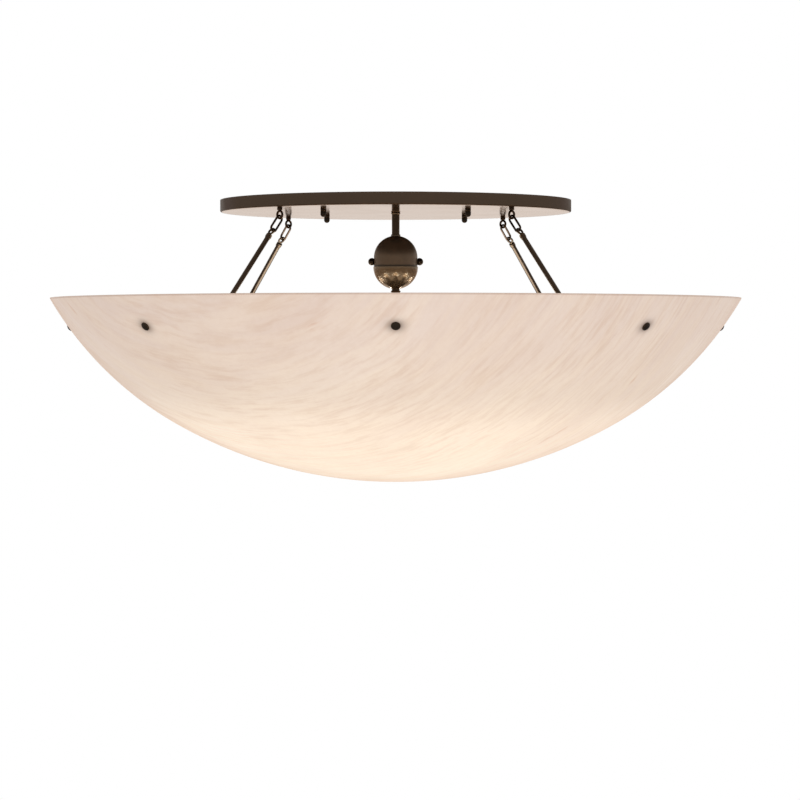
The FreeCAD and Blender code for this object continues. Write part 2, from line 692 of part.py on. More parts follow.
def bulb_glass(number):
    """The pear-shaped glass of a household bulb, seated on its base."""
    mouth = SOCKET_START + SOCKET_LENGTH
    globe = mouth + BULB_GLASS_LENGTH - BULB_GLASS_RADIUS
    diagonal = BULB_GLASS_RADIUS * math.sqrt(0.5)
    shoulder_angle = math.radians(35)
    shoulder = (
        BULB_GLASS_RADIUS * math.cos(shoulder_angle),
        globe - BULB_GLASS_RADIUS * math.sin(shoulder_angle),
    )
    neck_end = (BULB_NECK_RADIUS, mouth + 6.0)
    waist = (
        (shoulder[0] + neck_end[0]) / 2 - 1.6,
        (shoulder[1] + neck_end[1]) / 2 + 1.0,
    )
    glass = turned(
        (0, mouth),
        (BULB_NECK_RADIUS, mouth),
        neck_end,
        (waist, shoulder),
        ((BULB_GLASS_RADIUS, globe), (diagonal, globe + diagonal)),
        cap_arc(diagonal, globe + diagonal, BULB_GLASS_RADIUS - diagonal),
    )
    return on_lamp_axis(glass, number)


# ---------------------------------------------------------------- hangers

def torus_across_x(ring_radius, wire_radius, height):
    """A ring in the YZ plane, centred on the Z axis."""
    return Part.makeTorus(ring_radius, wire_radius, FreeCAD.Vector(0, 0, height), ALONG_X)


def pan_eye(azimuth):
    """A pan eye: ring, shoulder and the threaded shank that passes up through the pan."""
    ring = torus_across_x(EYE_RING_RADIUS, EYE_WIRE_RADIUS, EYE_CENTRE_HEIGHT)
    wire_middle = EYE_CENTRE_HEIGHT + EYE_RING_RADIUS
    waist = EYE_WIRE_RADIUS * 0.8
    shoulder = turned(
        (0, wire_middle),
        (waist, wire_middle),
        (waist, wire_middle + EYE_WIRE_RADIUS * 0.8),
        (EYE_SHOULDER_RADIUS, wire_middle + EYE_WIRE_RADIUS * 1.5),
        (EYE_SHOULDER_RADIUS, PAN_UNDERSIDE),
        (0, PAN_UNDERSIDE),
    )
    shank_top = PAN_FLOOR_TOP + EYE_WASHER_SHEET + EYE_NUT_HEIGHT + EYE_SHANK_ABOVE_NUT
    shank = rod_between(EYE_SHANK_RADIUS, PAN_UNDERSIDE, shank_top)
    eye = fused(ring, shoulder, shank)
    return around(placed(eye, FreeCAD.Vector(EYE_CIRCLE_RADIUS, 0, 0)), azimuth)


def eye_washers():
    """Washers on the pan's floor under the eye nuts."""
    washer = tube(
        EYE_WASHER_RADIUS, EYE_SHANK_RADIUS + STUD_FIT, PAN_FLOOR_TOP, PAN_FLOOR_TOP + EYE_WASHER_SHEET
    )
    return ring_of(placed(washer, FreeCAD.Vector(EYE_CIRCLE_RADIUS, 0, 0)), HANGER_AZIMUTHS.values())


def eye_nuts():
    """Nuts that hold the eyes in the pan."""
    bottom = PAN_FLOOR_TOP + EYE_WASHER_SHEET
    nut = hex_nut(EYE_NUT_FLATS, EYE_SHANK_RADIUS + STUD_FIT, bottom, bottom + EYE_NUT_HEIGHT)
    return ring_of(placed(nut, FreeCAD.Vector(EYE_CIRCLE_RADIUS, 0, 0)), HANGER_AZIMUTHS.values())


def on_hanger(shape, azimuth):
    """Lays a piece made along -Z from the origin onto the line of a hanger, from its eye pivot down."""
    leaned = placed(shape, FreeCAD.Vector(EYE_CIRCLE_RADIUS, 0, EYE_PIVOT_HEIGHT), ALONG_Y, -ROD_LEAN)
    return around(leaned, azimuth)


def link_top():
    """Distance of the link's top wire above the eye pivot, along the hanger."""
    return EYE_WIRE_RADIUS + LINK_WIRE_RADIUS + SEAT_GAP


def rod_eye_centre():
    """Distance of the rod's upper ring below the eye pivot, along the hanger."""
    link_bottom = LINK_LENGTH - link_top()
    return link_bottom - LINK_WIRE_RADIUS - ROD_EYE_WIRE_RADIUS - LINK_PLAY + ROD_EYE_RADIUS


def chain_link(azimuth):
    """One long chain link, standing in the plane of the axis and the rod."""
    straight = LINK_LENGTH - 2 * LINK_HALF_WIDTH
    top = link_top() - LINK_HALF_WIDTH
    bottom = top - straight
    wire = Part.makeCircle(LINK_WIRE_RADIUS, FreeCAD.Vector(LINK_HALF_WIDTH, 0, top), UP)
    section = Part.Face(Part.Wire(wire))
    upper_bend = section.revolve(FreeCAD.Vector(0, 0, top), ALONG_Y, -180)
    lower_section = placed(section, FreeCAD.Vector(0, 0, -straight))
    lower_bend = lower_section.revolve(FreeCAD.Vector(0, 0, bottom), ALONG_Y, 180)
    sides = [
        placed(rod_between(LINK_WIRE_RADIUS, bottom, top), FreeCAD.Vector(side * LINK_HALF_WIDTH, 0, 0))
        for side in (-1, 1)
    ]
    return on_hanger(fused(upper_bend, lower_bend, *sides), azimuth)


def lower_pivot_distance():
    """Distance from the eye pivot to the lower pivot, along the hanger."""
    return (EYE_PIVOT_HEIGHT + PIVOT_DROP) / ROD_COSINE


def rod(azimuth):
    """A rod with a ring at each end; the rings stand across the link and the frame's lug."""
    upper_ring = -rod_eye_centre()
    upper_ferrule_top = upper_ring - ROD_EYE_RADIUS - ROD_EYE_WIRE_RADIUS
    hook_bottom = -(lower_pivot_distance() - (LUG_HOLE_RADIUS - ROD_HOOK_WIRE_RADIUS - SWAY_PLAY))
    hook_ring = hook_bottom + ROD_HOOK_RADIUS
    lower_ferrule_bottom = hook_ring + ROD_HOOK_RADIUS + ROD_HOOK_WIRE_RADIUS
    neck = ROD_RADIUS * 0.6
    body = turned(
        (0, upper_ferrule_top + ROD_EYE_WIRE_RADIUS),
        (neck, upper_ferrule_top + ROD_EYE_WIRE_RADIUS),
        (neck, upper_ferrule_top),
        (FERRULE_RADIUS - 0.5, upper_ferrule_top - 0.5),
        (FERRULE_RADIUS, upper_ferrule_top - 1.2),
        (FERRULE_RADIUS, upper_ferrule_top - FERRULE_LENGTH + FERRULE_TAPER),
        (ROD_RADIUS, upper_ferrule_top - FERRULE_LENGTH),
        (ROD_RADIUS, lower_ferrule_bottom + FERRULE_LENGTH),
        (FERRULE_RADIUS, lower_ferrule_bottom + FERRULE_LENGTH - FERRULE_TAPER),
        (FERRULE_RADIUS, lower_ferrule_bottom + 0.5),
        (FERRULE_RADIUS - 0.5, lower_ferrule_bottom),
        (neck, lower_ferrule_bottom),
        (neck, lower_ferrule_bottom - ROD_HOOK_WIRE_RADIUS),
        (0, lower_ferrule_bottom - ROD_HOOK_WIRE_RADIUS),
    )
    rings = [
        torus_across_x(ROD_EYE_RADIUS, ROD_EYE_WIRE_RADIUS, upper_ring),
        torus_across_x(ROD_HOOK_RADIUS, ROD_HOOK_WIRE_RADIUS, hook_ring),
    ]
    return on_hanger(fused(body, *rings), azimuth)


# ---------------------------------------------------------------- bowl and its frame

def bowl():
    """The translucent bowl with its eight screw holes."""
    centre, radius, angle = bowl_arcs()
    lower_centre = BOWL_BOTTOM_HEIGHT + BOWL_LOWER_ARC_RADIUS

    def on_lower(inset, share):
        reach = BOWL_LOWER_ARC_RADIUS - inset
        return (reach * math.sin(angle * share), lower_centre - reach * math.cos(angle * share))

    def on_upper(inset, share):
        reach = radius - inset
        rim_angle = math.acos((centre[1] - BOWL_RIM_HEIGHT) / reach)
        here = angle + (rim_angle - angle) * share
        return (centre[0] + reach * math.sin(here), centre[1] - reach * math.cos(here))

    wall = BOWL_WALL
    shell = turned(
        (0, BOWL_BOTTOM_HEIGHT),
        (on_lower(0, 0.5), on_lower(0, 1)),
        (on_upper(0, 0.5), on_upper(0, 1)),
        on_upper(wall, 1),
        (on_upper(wall, 0.5), on_lower(wall, 1)),
        (on_lower(wall, 0.5), (0, BOWL_BOTTOM_HEIGHT + wall)),
    )
    hole = rod_between(BOWL_SCREW_RADIUS + HOLE_CLEARANCE, -2 * wall, wall)
    holes = [at_bowl_screw(hole, azimuth) for azimuth in bowl_screw_azimuths()]
    return shell.cut(holes)


def bowl_screw_azimuths():
    """Azimuths of the bowl screws; one is at the exact front."""
    return [-90.0 + k * 360.0 / BOWL_SCREW_COUNT for k in range(BOWL_SCREW_COUNT)]


def bowl_screw_seat():
    """Place of a bowl screw on the outer wall at azimuth 0, and the angle of its axis below level."""
    height = BOWL_RIM_HEIGHT - BOWL_SCREW_BELOW_RIM
    centre, radius, _ = bowl_arcs()
    below_level = math.degrees(math.asin((centre[1] - height) / radius))
    return FreeCAD.Vector(bowl_radius_at(height), 0, height), below_level


def at_bowl_screw(shape, azimuth):
    """Lays a piece made about +Z, with the outer wall at Z = 0, onto a bowl screw's axis, outwards."""
    seat, below_level = bowl_screw_seat()
    return around(placed(shape, seat, ALONG_Y, 90 + below_level), azimuth)


def bowl_screws():
    """Eight low domed screws that hold the bowl to its frame."""
    stack = BOWL_WALL + BOWL_WASHER_THICKNESS + FRAME_ARM_SHEET + BOWL_NUT_HEIGHT
    tip = -stack - 3 * SEAT_GAP - 1.0
    head = BOWL_SCREW_HEAD_RADIUS
    height = BOWL_SCREW_HEAD_HEIGHT
    rim = height * 0.35
    screw = turned(
        (0, tip),
        (BOWL_SCREW_RADIUS, tip),
        (BOWL_SCREW_RADIUS, WALL_GAP),
        (head, WALL_GAP),
        (head, rim),
        ((head * 0.68, height * 0.8), (head * 0.3, height)),
        (0, height),
    )
    return Part.makeCompound([at_bowl_screw(screw, azimuth) for azimuth in bowl_screw_azimuths()])


def wall_stack():
    """Depths below the outer wall of the washer, the frame's tab and the nut."""
    _, radius, _ = bowl_arcs()
    hollow = BOWL_WASHER_RADIUS ** 2 / (2 * (radius - BOWL_WALL)) + WALL_GAP
    washer_top = BOWL_WALL + hollow
    tab_top = washer_top + BOWL_WASHER_THICKNESS
    nut_top = tab_top + FRAME_ARM_SHEET
    return washer_top, tab_top, nut_top


def bowl_washers():
    """Wide soft washers between the bowl and the frame's tabs."""
    washer_top, tab_top, _ = wall_stack()
    washer = tube(BOWL_WASHER_RADIUS, BOWL_SCREW_RADIUS + STUD_FIT, -tab_top, -washer_top)
    return Part.makeCompound([at_bowl_screw(washer, azimuth) for azimuth in bowl_screw_azimuths()])


def bowl_nuts():
    """Nuts on the inner ends of the bowl screws."""
    _, _, nut_top = wall_stack()
    nut = hex_nut(BOWL_NUT_FLATS, BOWL_SCREW_RADIUS + STUD_FIT, -nut_top - BOWL_NUT_HEIGHT, -nut_top)
    return Part.makeCompound([at_bowl_screw(nut, azimuth) for azimuth in bowl_screw_azimuths()])


def frame_lug(azimuth):
    """A rounded lug on the hoop, with the hole that a rod's lower ring passes through."""
    foot = HOOP_TOP_HEIGHT - HOOP_HEIGHT / 2
    pivot = FreeCAD.Vector(PIVOT_RADIUS, -LUG_SHEET / 2, -PIVOT_DROP)
    head = Part.makeCylinder(LUG_RADIUS, LUG_SHEET, pivot, ALONG_Y)
    web_outer = HOOP_RADIUS
    web_inner = PIVOT_RADIUS - LUG_RADIUS
    web = Part.makeBox(
        web_outer - web_inner, LUG_SHEET, -PIVOT_DROP - foot, FreeCAD.Vector(web_inner, -LUG_SHEET / 2, foot)
    )
    hole = Part.makeCylinder(LUG_HOLE_RADIUS, LUG_SHEET, pivot, ALONG_Y)
    return around(fused(head, web).cut(hole), azimuth)


def frame_arm(azimuth):
    """An arm from the hoop out to the bowl's wall, with a tab along the wall."""
    seat, below_level = bowl_screw_seat()
    normal = math.radians(below_level)
    out = (math.cos(normal), -math.sin(normal))
    along = (math.sin(normal), math.cos(normal))
    _, tab_top, nut_top = wall_stack()

    def on_tab(depth, run):
        return (seat.x - depth * out[0] + run * along[0], seat.z - depth * out[1] + run * along[1])

    half = FRAME_TAB_LENGTH / 2
    hoop_inner = HOOP_RADIUS - HOOP_SHEET / 2
    strap = profile(
        (hoop_inner, HOOP_TOP_HEIGHT),
        (hoop_inner, HOOP_TOP_HEIGHT + FRAME_ARM_SHEET),
        on_tab(nut_top, -half + FRAME_ARM_SHEET / 2),
        on_tab(nut_top, half),
        on_tab(tab_top, half),
        on_tab(tab_top, -half - FRAME_ARM_SHEET / 2),
        (HOOP_RADIUS + HOOP_SHEET, HOOP_TOP_HEIGHT),
    )
    shift = FreeCAD.Vector(0, -FRAME_ARM_WIDTH / 2, 0)
    solid = placed(strap.extrude(FreeCAD.Vector(0, FRAME_ARM_WIDTH, 0)), shift)
    return around(solid, azimuth)


def bowl_frame():
    """Hoop, arms and lugs, welded into one frame."""
    hoop_inner = HOOP_RADIUS - HOOP_SHEET / 2
    hoop = tube(HOOP_RADIUS + HOOP_SHEET / 2, hoop_inner, HOOP_TOP_HEIGHT - HOOP_HEIGHT, HOOP_TOP_HEIGHT)
    arms = [frame_arm(azimuth) for azimuth in bowl_screw_azimuths()]
    lugs = [frame_lug(azimuth) for azimuth in HANGER_AZIMUTHS.values()]
    welded = fused(hoop, *arms, *lugs)
    hole = rod_between(BOWL_SCREW_RADIUS + HOLE_CLEARANCE, -4 * BOWL_WALL, 0)
    return welded.cut([at_bowl_screw(hole, azimuth) for azimuth in bowl_screw_azimuths()])


# ---------------------------------------------------------------- assembly

def all_nodes():
    """Every node of the light, by name."""
    nodes = {
        "ceiling_pan": ceiling_pan(),
        "ceiling_bracket": ceiling_bracket(),
        "ground_screw": ground_screw(),
        "bracket_studs": bracket_studs(),
        "stud_lock_nuts": stud_lock_nuts(),
        "stem_pipe": stem_pipe(),
        "stem_lock_nuts": stem_lock_nuts(),
        "stem_collar": stem_collar(),
        "ball_upper_shell": ball_upper_shell(),
        "ball_lower_shell": ball_lower_shell(),
        "ball_strap": ball_strap(),
        "ball_strap_nuts": ball_strap_nuts(),
        "ball_screw_left": ball_screw(-1),
        "ball_screw_right": ball_screw(1),
        "flared_neck": flared_neck(),
        "lamp_hub": lamp_hub(),
        "hub_cover": hub_cover(),
        "hub_finial": hub_finial(),
        "eye_washers": eye_washers(),
        "eye_nuts": eye_nuts(),
        "bowl": bowl(),
        "bowl_frame": bowl_frame(),
        "bowl_screws": bowl_screws(),
        "bowl_washers": bowl_washers(),
        "bowl_nuts": bowl_nuts(),
    }
    for corner, azimuth in HANGER_AZIMUTHS.items():
        nodes["cap_nut_" + corner] = cap_nut(azimuth)
        nodes["pan_eye_" + corner] = pan_eye(azimuth)
        nodes["chain_link_" + corner] = chain_link(azimuth)
        nodes["rod_" + corner] = rod(azimuth)
    for number in range(1, LAMP_COUNT + 1):
        nodes["lamp_socket_" + str(number)] = lamp_socket(number)
        nodes["bulb_base_" + str(number)] = bulb_base(number)
        nodes["bulb_glass_" + str(number)] = bulb_glass(number)
    return nodes


def main():
    """Writes each node to its own file."""
    os.makedirs("parts", exist_ok=True)
    for name, shape in all_nodes().items():
        if not shape.isValid():
            print("not valid:", name)
        shape.exportStep("parts/" + name + ".step")
    apex = EYE_PIVOT_HEIGHT + EYE_CIRCLE_RADIUS / ROD_SPREAD
    ratio = (apex + PIVOT_DROP) / (EYE_PIVOT_HEIGHT + PIVOT_DROP)
    message = "eye pivot height %.3f, rod lines meet at %.3f, hanger turns %.5f times the bowl"
    print(message % (EYE_PIVOT_HEIGHT, apex, ratio))


main()
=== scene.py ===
"""A semi flush ceiling light: its finishes and its fine shapes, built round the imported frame.

Metres, +Z up. The ceiling is the plane Z = 0 and the light hangs below it; -Y is the front.
"""

import json
import logging
import math
from dataclasses import dataclass, field
from enum import Enum
from typing import Callable, Iterable, Sequence

import bpy
import numpy as np
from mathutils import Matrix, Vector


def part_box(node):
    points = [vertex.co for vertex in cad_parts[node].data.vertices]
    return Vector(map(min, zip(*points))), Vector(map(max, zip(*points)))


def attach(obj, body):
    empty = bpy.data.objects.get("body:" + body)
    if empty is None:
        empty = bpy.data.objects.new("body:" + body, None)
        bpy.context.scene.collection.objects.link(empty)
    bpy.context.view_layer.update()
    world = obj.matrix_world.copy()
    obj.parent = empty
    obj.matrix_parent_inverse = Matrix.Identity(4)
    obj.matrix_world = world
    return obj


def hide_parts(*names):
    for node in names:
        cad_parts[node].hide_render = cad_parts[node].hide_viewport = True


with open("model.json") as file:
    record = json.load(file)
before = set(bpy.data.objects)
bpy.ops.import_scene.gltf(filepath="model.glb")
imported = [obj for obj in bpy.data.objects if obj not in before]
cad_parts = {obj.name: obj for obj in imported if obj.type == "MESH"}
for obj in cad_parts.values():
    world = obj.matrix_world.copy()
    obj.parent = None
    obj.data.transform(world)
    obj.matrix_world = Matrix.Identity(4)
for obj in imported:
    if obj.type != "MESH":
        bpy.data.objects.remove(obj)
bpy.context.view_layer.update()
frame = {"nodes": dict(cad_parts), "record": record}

LOG = logging.getLogger("ceiling_light")
MM = 0.001
TURN = 2.0 * math.pi
TINY = 1e-7

BORE_PLAY = 0.05 * MM      # between a bore and the pipe or shank in it

Array = np.ndarray
Colour = tuple[float, float, float, float]
Material = bpy.types.Material
Node = bpy.types.Node
Socket = bpy.types.NodeSocket
Feeds = dict[str | int, object]
Sockets = dict[str, Socket]
RadiusShape = Callable[[Array, Array, Array], Array]
Corners = list[tuple[float, float, float]]

WHITE: Colour = (1.0, 1.0, 1.0, 1.0)


# ---------------- the frame's places

class Corner(Enum):
    """The four hangers, each with its azimuth in degrees from +X towards +Y."""

    FRONT_LEFT = ("front_left", 225.0)
    FRONT_RIGHT = ("front_right", 315.0)
    REAR_LEFT = ("rear_left", 135.0)
    REAR_RIGHT = ("rear_right", 45.0)

    @property
    def label(self) -> str:
        """The word that node and body names end with."""
        return self.value[0]

    @property
    def azimuth(self) -> float:
        """Degrees from +X towards +Y."""
        return self.value[1]


def node_box(node: str) -> tuple[Array, Array]:
    """Lowest and highest corner of a node, as arrays.

    Args:
        node: the node's name.

    Returns:
        Two arrays of three numbers, in metres.
    """
    low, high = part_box(node)
    return np.array(low), np.array(high)


def body_of_node(node: str) -> str:
    """The body that a node belongs to.

    Args:
        node: the node's name.

    Returns:
        The body's name.
    """
    bodies = frame["record"]["behaviour"]["bodies"]
    return next(body for body, members in bodies.items() if node in members)


# ---------------- surfaces

@dataclass
class Surface:
    """A closed skin: its points and its faces, which point outwards."""

    points: Array
    quads: Array
    triangles: Array = field(default_factory=lambda: np.zeros((0, 3), int))

    def moved(self, matrix: Array) -> "Surface":
        """The skin under a 4 by 4 matrix M: each point p becomes M p."""
        return Surface(self.points @ matrix[:3, :3].T + matrix[:3, 3], self.quads, self.triangles)


def together(parts: Iterable[Surface]) -> Surface:
    """Several skins as one, with each one's faces counted on from the last one's points.

    Args:
        parts: the skins.

    Returns:
        One surface that holds them all.
    """
    parts = list(parts)
    starts = np.cumsum([0] + [len(part.points) for part in parts[:-1]])
    return Surface(
        np.vstack([part.points for part in parts]),
        np.vstack([part.quads + start for part, start in zip(parts, starts)]),
        np.vstack([part.triangles + start for part, start in zip(parts, starts)]),
    )


def grid_quads(rows: int, columns: int, wrap_rows: bool, wrap_columns: bool) -> Array:
    """Faces of a grid of points: (i, j), (i, j+1), (i+1, j+1), (i+1, j), wrapped where asked.

    Args:
        rows: number of rows of points.
        columns: number of points in a row.
        wrap_rows: whether the last row joins the first.
        wrap_columns: whether the last point of a row joins the first.

    Returns:
        An array of four indices for each face.
    """
    row = np.arange(rows if wrap_rows else rows - 1)[:, None]
    column = np.arange(columns if wrap_columns else columns - 1)[None, :]
    next_row, next_column = (row + 1) % rows, (column + 1) % columns
    corners = (
        row * columns + column, row * columns + next_column,
        next_row * columns + next_column, next_row * columns + column,
    )
    return np.stack(np.broadcast_arrays(*corners), axis=-1).reshape(-1, 4)


def lathe(outline: Array, columns: int, shape: RadiusShape | None = None) -> Surface:
    """Skin that an outline sweeps in a full turn about Z: P(i, a) = (r cos a, r sin a, z).

    An outline that starts and ends on the axis gets one point at each pole. Any other outline
    is closed on itself, which makes a ring or a tube.

    Args:
        outline: radius and height of each point, going round anticlockwise.
        columns: number of steps in a turn.
        shape: gives new radii from radius, height and angle, for threads and flats.

    Returns:
        The closed skin.
    """
    radius = np.repeat(outline[:, :1], columns, axis=1)
    height = np.repeat(outline[:, 1:], columns, axis=1)
    angle = np.broadcast_to(np.arange(columns) * TURN / columns, radius.shape)
    if shape is not None:
        radius = shape(radius, height, angle)
    points = np.stack((radius * np.cos(angle), radius * np.sin(angle), height), axis=-1)
    if outline[0, 0] > TINY or outline[-1, 0] > TINY:
        return Surface(points.reshape(-1, 3), grid_quads(len(outline), columns, True, True))
    rings = points[1:-1].reshape(-1, 3)
    here = np.arange(columns)
    after = (here + 1) % columns
    last = len(rings) - columns
    first_pole = np.stack((np.full(columns, len(rings)), after, here), axis=-1)
    last_pole = np.stack((last + here, last + after, np.full(columns, len(rings) + 1)), axis=-1)
    poles = np.array([[0.0, 0.0, outline[0, 1]], [0.0, 0.0, outline[-1, 1]]])
    return Surface(
        np.vstack((rings, poles)),
        grid_quads(len(outline) - 2, columns, False, True),
        np.vstack((first_pole, last_pole)),
    )


def loop_tube(path: Array, normal: Sequence[float], radius: float | Array, columns: int) -> Surface:
    """Round wire along a closed flat path: P(i, a) = C(i) + R(i) (N(i) cos a + B sin a).

    B is the path's plane normal, T(i) the path's direction and N(i) = B x T(i).

    Args:
        path: the points C(i) of the path, without repeating the first at the end.
        normal: the plane's normal B.
        radius: the wire's radius R, one number or one for each point.
        columns: number of steps round the wire.

    Returns:
        The closed skin.
    """
    tangent = np.roll(path, -1, axis=0) - np.roll(path, 1, axis=0)
    tangent /= np.linalg.norm(tangent, axis=1, keepdims=True)
    across = np.asarray(normal, float)
    sideways = np.cross(across, tangent)
    angle = (np.arange(columns) * TURN / columns)[None, :, None]
    reach = np.broadcast_to(np.asarray(radius, float), (len(path),))[:, None, None]
    ring = sideways[:, None, :] * np.cos(angle) + across[None, None, :] * np.sin(angle)
    points = path[:, None, :] + reach * ring
    return Surface(points.reshape(-1, 3), grid_quads(len(path), columns, True, True))


def arc(centre: tuple[float, float], radius: float, start: float, end: float, steps: int) -> Array:
    """Points on an arc: centre + radius (cos t, sin t), with t in degrees from start to end.

    Args:
        centre: the arc's centre in the outline's plane.
        radius: its radius.
        start: its first angle in degrees.
        end: its last angle in degrees.
        steps: number of steps between them.

    Returns:
        steps + 1 points.
    """
    angle = np.radians(np.linspace(start, end, steps + 1))
    return np.stack((centre[0] + radius * np.cos(angle), centre[1] + radius * np.sin(angle)), axis=-1)


def rounded(corners: Sequence[tuple[float, float, float]], closed: bool, steps: int = 5) -> Array:
    """Outline through corners, each turned by a tangent arc of its own fillet radius.

    The arc's centre lies on the corner's bisector, fillet / sin(half the angle) from it, and the arc
    touches the runs fillet / tan(half the angle) from the corner.

    Args:
        corners: (x, y, fillet) of each corner.
        closed: whether the last corner joins the first; if not, the two ends stay sharp.
        steps: number of steps in each arc.

    Returns:
        The outline's points.
    """
    places = np.array([corner[:2] for corner in corners])
    count = len(corners)
    pieces = []
    for index, (here, fillet) in enumerate(zip(places, (corner[2] for corner in corners))):
        if fillet <= 0 or (not closed and index in (0, count - 1)):
            pieces.append(here[None])
            continue
        back = places[index - 1] - here
        on = places[(index + 1) % count] - here
        back, on = back / np.linalg.norm(back), on / np.linalg.norm(on)
        half = math.acos(float(np.clip(back @ on, -1, 1))) / 2
        bisector = (back + on) / np.linalg.norm(back + on)
        centre = here + bisector * fillet / math.sin(half)
        first = here + back * fillet / math.tan(half) - centre
        last = here + on * fillet / math.tan(half) - centre
        start = math.atan2(first[1], first[0])
        sweep = (math.atan2(last[1], last[0]) - start + math.pi) % TURN - math.pi
        pieces.append(arc(tuple(centre), fillet, math.degrees(start), math.degrees(start + sweep), steps))
    return np.vstack(pieces)


def finer(outline: Array, step: float, closed: bool = False) -> Array:
    """The outline with extra points, so that no run between two points is longer than step.

    Args:
        outline: the outline's points.
        step: the longest run.
        closed: whether the run from the last point to the first is divided too.

    Returns:
        The outline's points, with all of its own kept.
    """
    ends = np.roll(outline, -1, axis=0) if closed else outline[1:]
    starts = outline if closed else outline[:-1]
    counts = np.maximum(1, np.ceil(np.linalg.norm(ends - starts, axis=1) / step).astype(int))
    shares = [np.arange(count)[:, None] / count for count in counts]
    runs = [start + (end - start) * share for start, end, share in zip(starts, ends, shares)]
    return np.vstack(runs if closed else runs + [outline[-1:]])


def threaded(crest: float, pitch: float, depth: float, bottom: float, top: float) -> RadiusShape:
    """A one-start V thread: r' = r - depth w(z) |2 frac(z / pitch - a / turn) - 1|.

    w(z) rises from 0 to 1 within one pitch of each end. Only the skin at the crest's radius is cut.

    Args:
        crest: outer radius of the thread.
        pitch: its pitch.
        depth: its depth.
        bottom: height at which it starts.
        top: height at which it ends.

    Returns:
        The function that the lathe applies.
    """
    def cut(radius: Array, height: Array, angle: Array) -> Array:
        """New radii of a grid."""
        wave = np.abs(2 * ((height / pitch - angle / TURN) % 1.0) - 1)
        fade = np.clip(np.minimum(height - bottom, top - height) / pitch, 0, 1)
        return np.where(radius > crest - TINY, radius - depth * fade * wave, radius)

    return cut


def flat_sided(flats: float, sides: int = 6) -> RadiusShape:
    """Flats on a round blank: r' = min(r, (flats / 2) / cos(a mod side - side / 2)).

    Args:
        flats: distance across the flats.
        sides: number of flats.

    Returns:
        The function that the lathe applies.
    """
    side = TURN / sides

    def cut(radius: Array, height: Array, angle: Array) -> Array:
        """New radii of a grid."""
        return np.minimum(radius, flats / 2 / np.cos(angle % side - side / 2))

    return cut


def cap_sphere(radius: float, rise: float) -> tuple[float, float]:
    """The sphere whose cap has a given rim and rise: (r^2 + h^2) / 2h.

    Args:
        radius: the rim's radius.
        rise: height of the cap.

    Returns:
        The sphere's radius, and the angle in degrees from its pole to the rim.
    """
    sphere = (radius ** 2 + rise ** 2) / (2 * rise)
    return sphere, math.degrees(math.asin(radius / sphere))


def groove(radius: float, depth: float, heights: Sequence[float], fillet: float) -> Corners:
    """Corners of a turned groove: down to the depth and up again.

    Args:
        radius: radius of the piece.
        depth: the groove's depth.
        heights: height of each corner, the first and the last on the full radius.
        fillet: fillet radius of its corners.

    Returns:
        Radius, height and fillet of each corner.
    """
    ends = (heights[0], heights[-1])
    return [(radius if height in ends else radius - depth, height, fillet) for height in heights]


def nut(flats: float, bore: float, bottom: float, top: float) -> Surface:
    """A hexagon nut: a chamfered round blank with six flats and a countersunk bore.

    Args:
        flats: distance across the flats.
        bore: radius of its hole.
        bottom: height of its lower face.
        top: height of its upper face.

    Returns:
        The closed skin.
    """
    bevel_share, sink_share, finest_share, columns = 0.62, 0.18, 0.06, 72
    corner = flats / math.sqrt(3)
    bevel = (corner - flats / 2) * bevel_share
    sink = (flats / 2 - bore) * sink_share
    blank = np.array([
        (bore, bottom + sink), (bore + sink, bottom), (corner - bevel, bottom), (corner, bottom + bevel),
        (corner, top - bevel), (corner - bevel, top), (bore + sink, top), (bore, top - sink),
    ])
    return lathe(finer(blank, flats * finest_share, closed=True), columns, flat_sided(flats))


def move_to(x: float, y: float, z: float) -> Array:
    """The 4 by 4 matrix of a shift.

    Args:
        x: the way along X.
        y: along Y.
        z: along Z.

    Returns:
        The matrix.
    """
    matrix = np.eye(4)
    matrix[:3, 3] = (x, y, z)
    return matrix


def turn_z(degrees: float) -> Array:
    """The 4 by 4 matrix of a turn about Z.

    Args:
        degrees: the turn, from +X towards +Y.

    Returns:
        The matrix.
    """
    cosine, sine = math.cos(math.radians(degrees)), math.sin(math.radians(degrees))
    matrix = np.eye(4)
    matrix[:2, :2] = ((cosine, -sine), (sine, cosine))
    return matrix


def turn_y(degrees: float) -> Array:
    """The 4 by 4 matrix of a turn about Y.

    Args:
        degrees: the turn, from +Z towards +X.

    Returns:
        The matrix.
    """
    cosine, sine = math.cos(math.radians(degrees)), math.sin(math.radians(degrees))
    matrix = np.eye(4)
    matrix[0, 0], matrix[0, 2], matrix[2, 0], matrix[2, 2] = cosine, sine, -sine, cosine
    return matrix


def at_corners(single: Surface, reach: float) -> Surface:
    """One copy of a piece at each corner, at a distance from the axis, as one skin."""
    return together(single.moved(turn_z(corner.azimuth) @ move_to(reach, 0, 0)) for corner in Corner)


def circle_path(radius: float, height: float, steps: int) -> Array:
    """A circle in the YZ plane: (0, r sin t, height + r cos t), going round about +X."""
    angle = -np.arange(steps) * TURN / steps
    return np.stack((np.zeros(steps), radius * np.sin(angle), height + radius * np.cos(angle)), axis=-1)


# ---------------- shader building

def srgb(red: int, green: int, blue: int) -> Colour:
    """A screen colour of 0 to 255 as linear light: ((c + 0.055) / 1.055) ^ 2.4, or c / 12.92 when dark.

    Args:
        red: red share.
        green: green share.
        blue: blue share.

    Returns:
        The colour, with full cover.
    """
    shares = [channel / 255 for channel in (red, green, blue)]
    linear = [c / 12.92 if c <= 0.04045 else ((c + 0.055) / 1.055) ** 2.4 for c in shares]
    return (linear[0], linear[1], linear[2], 1.0)


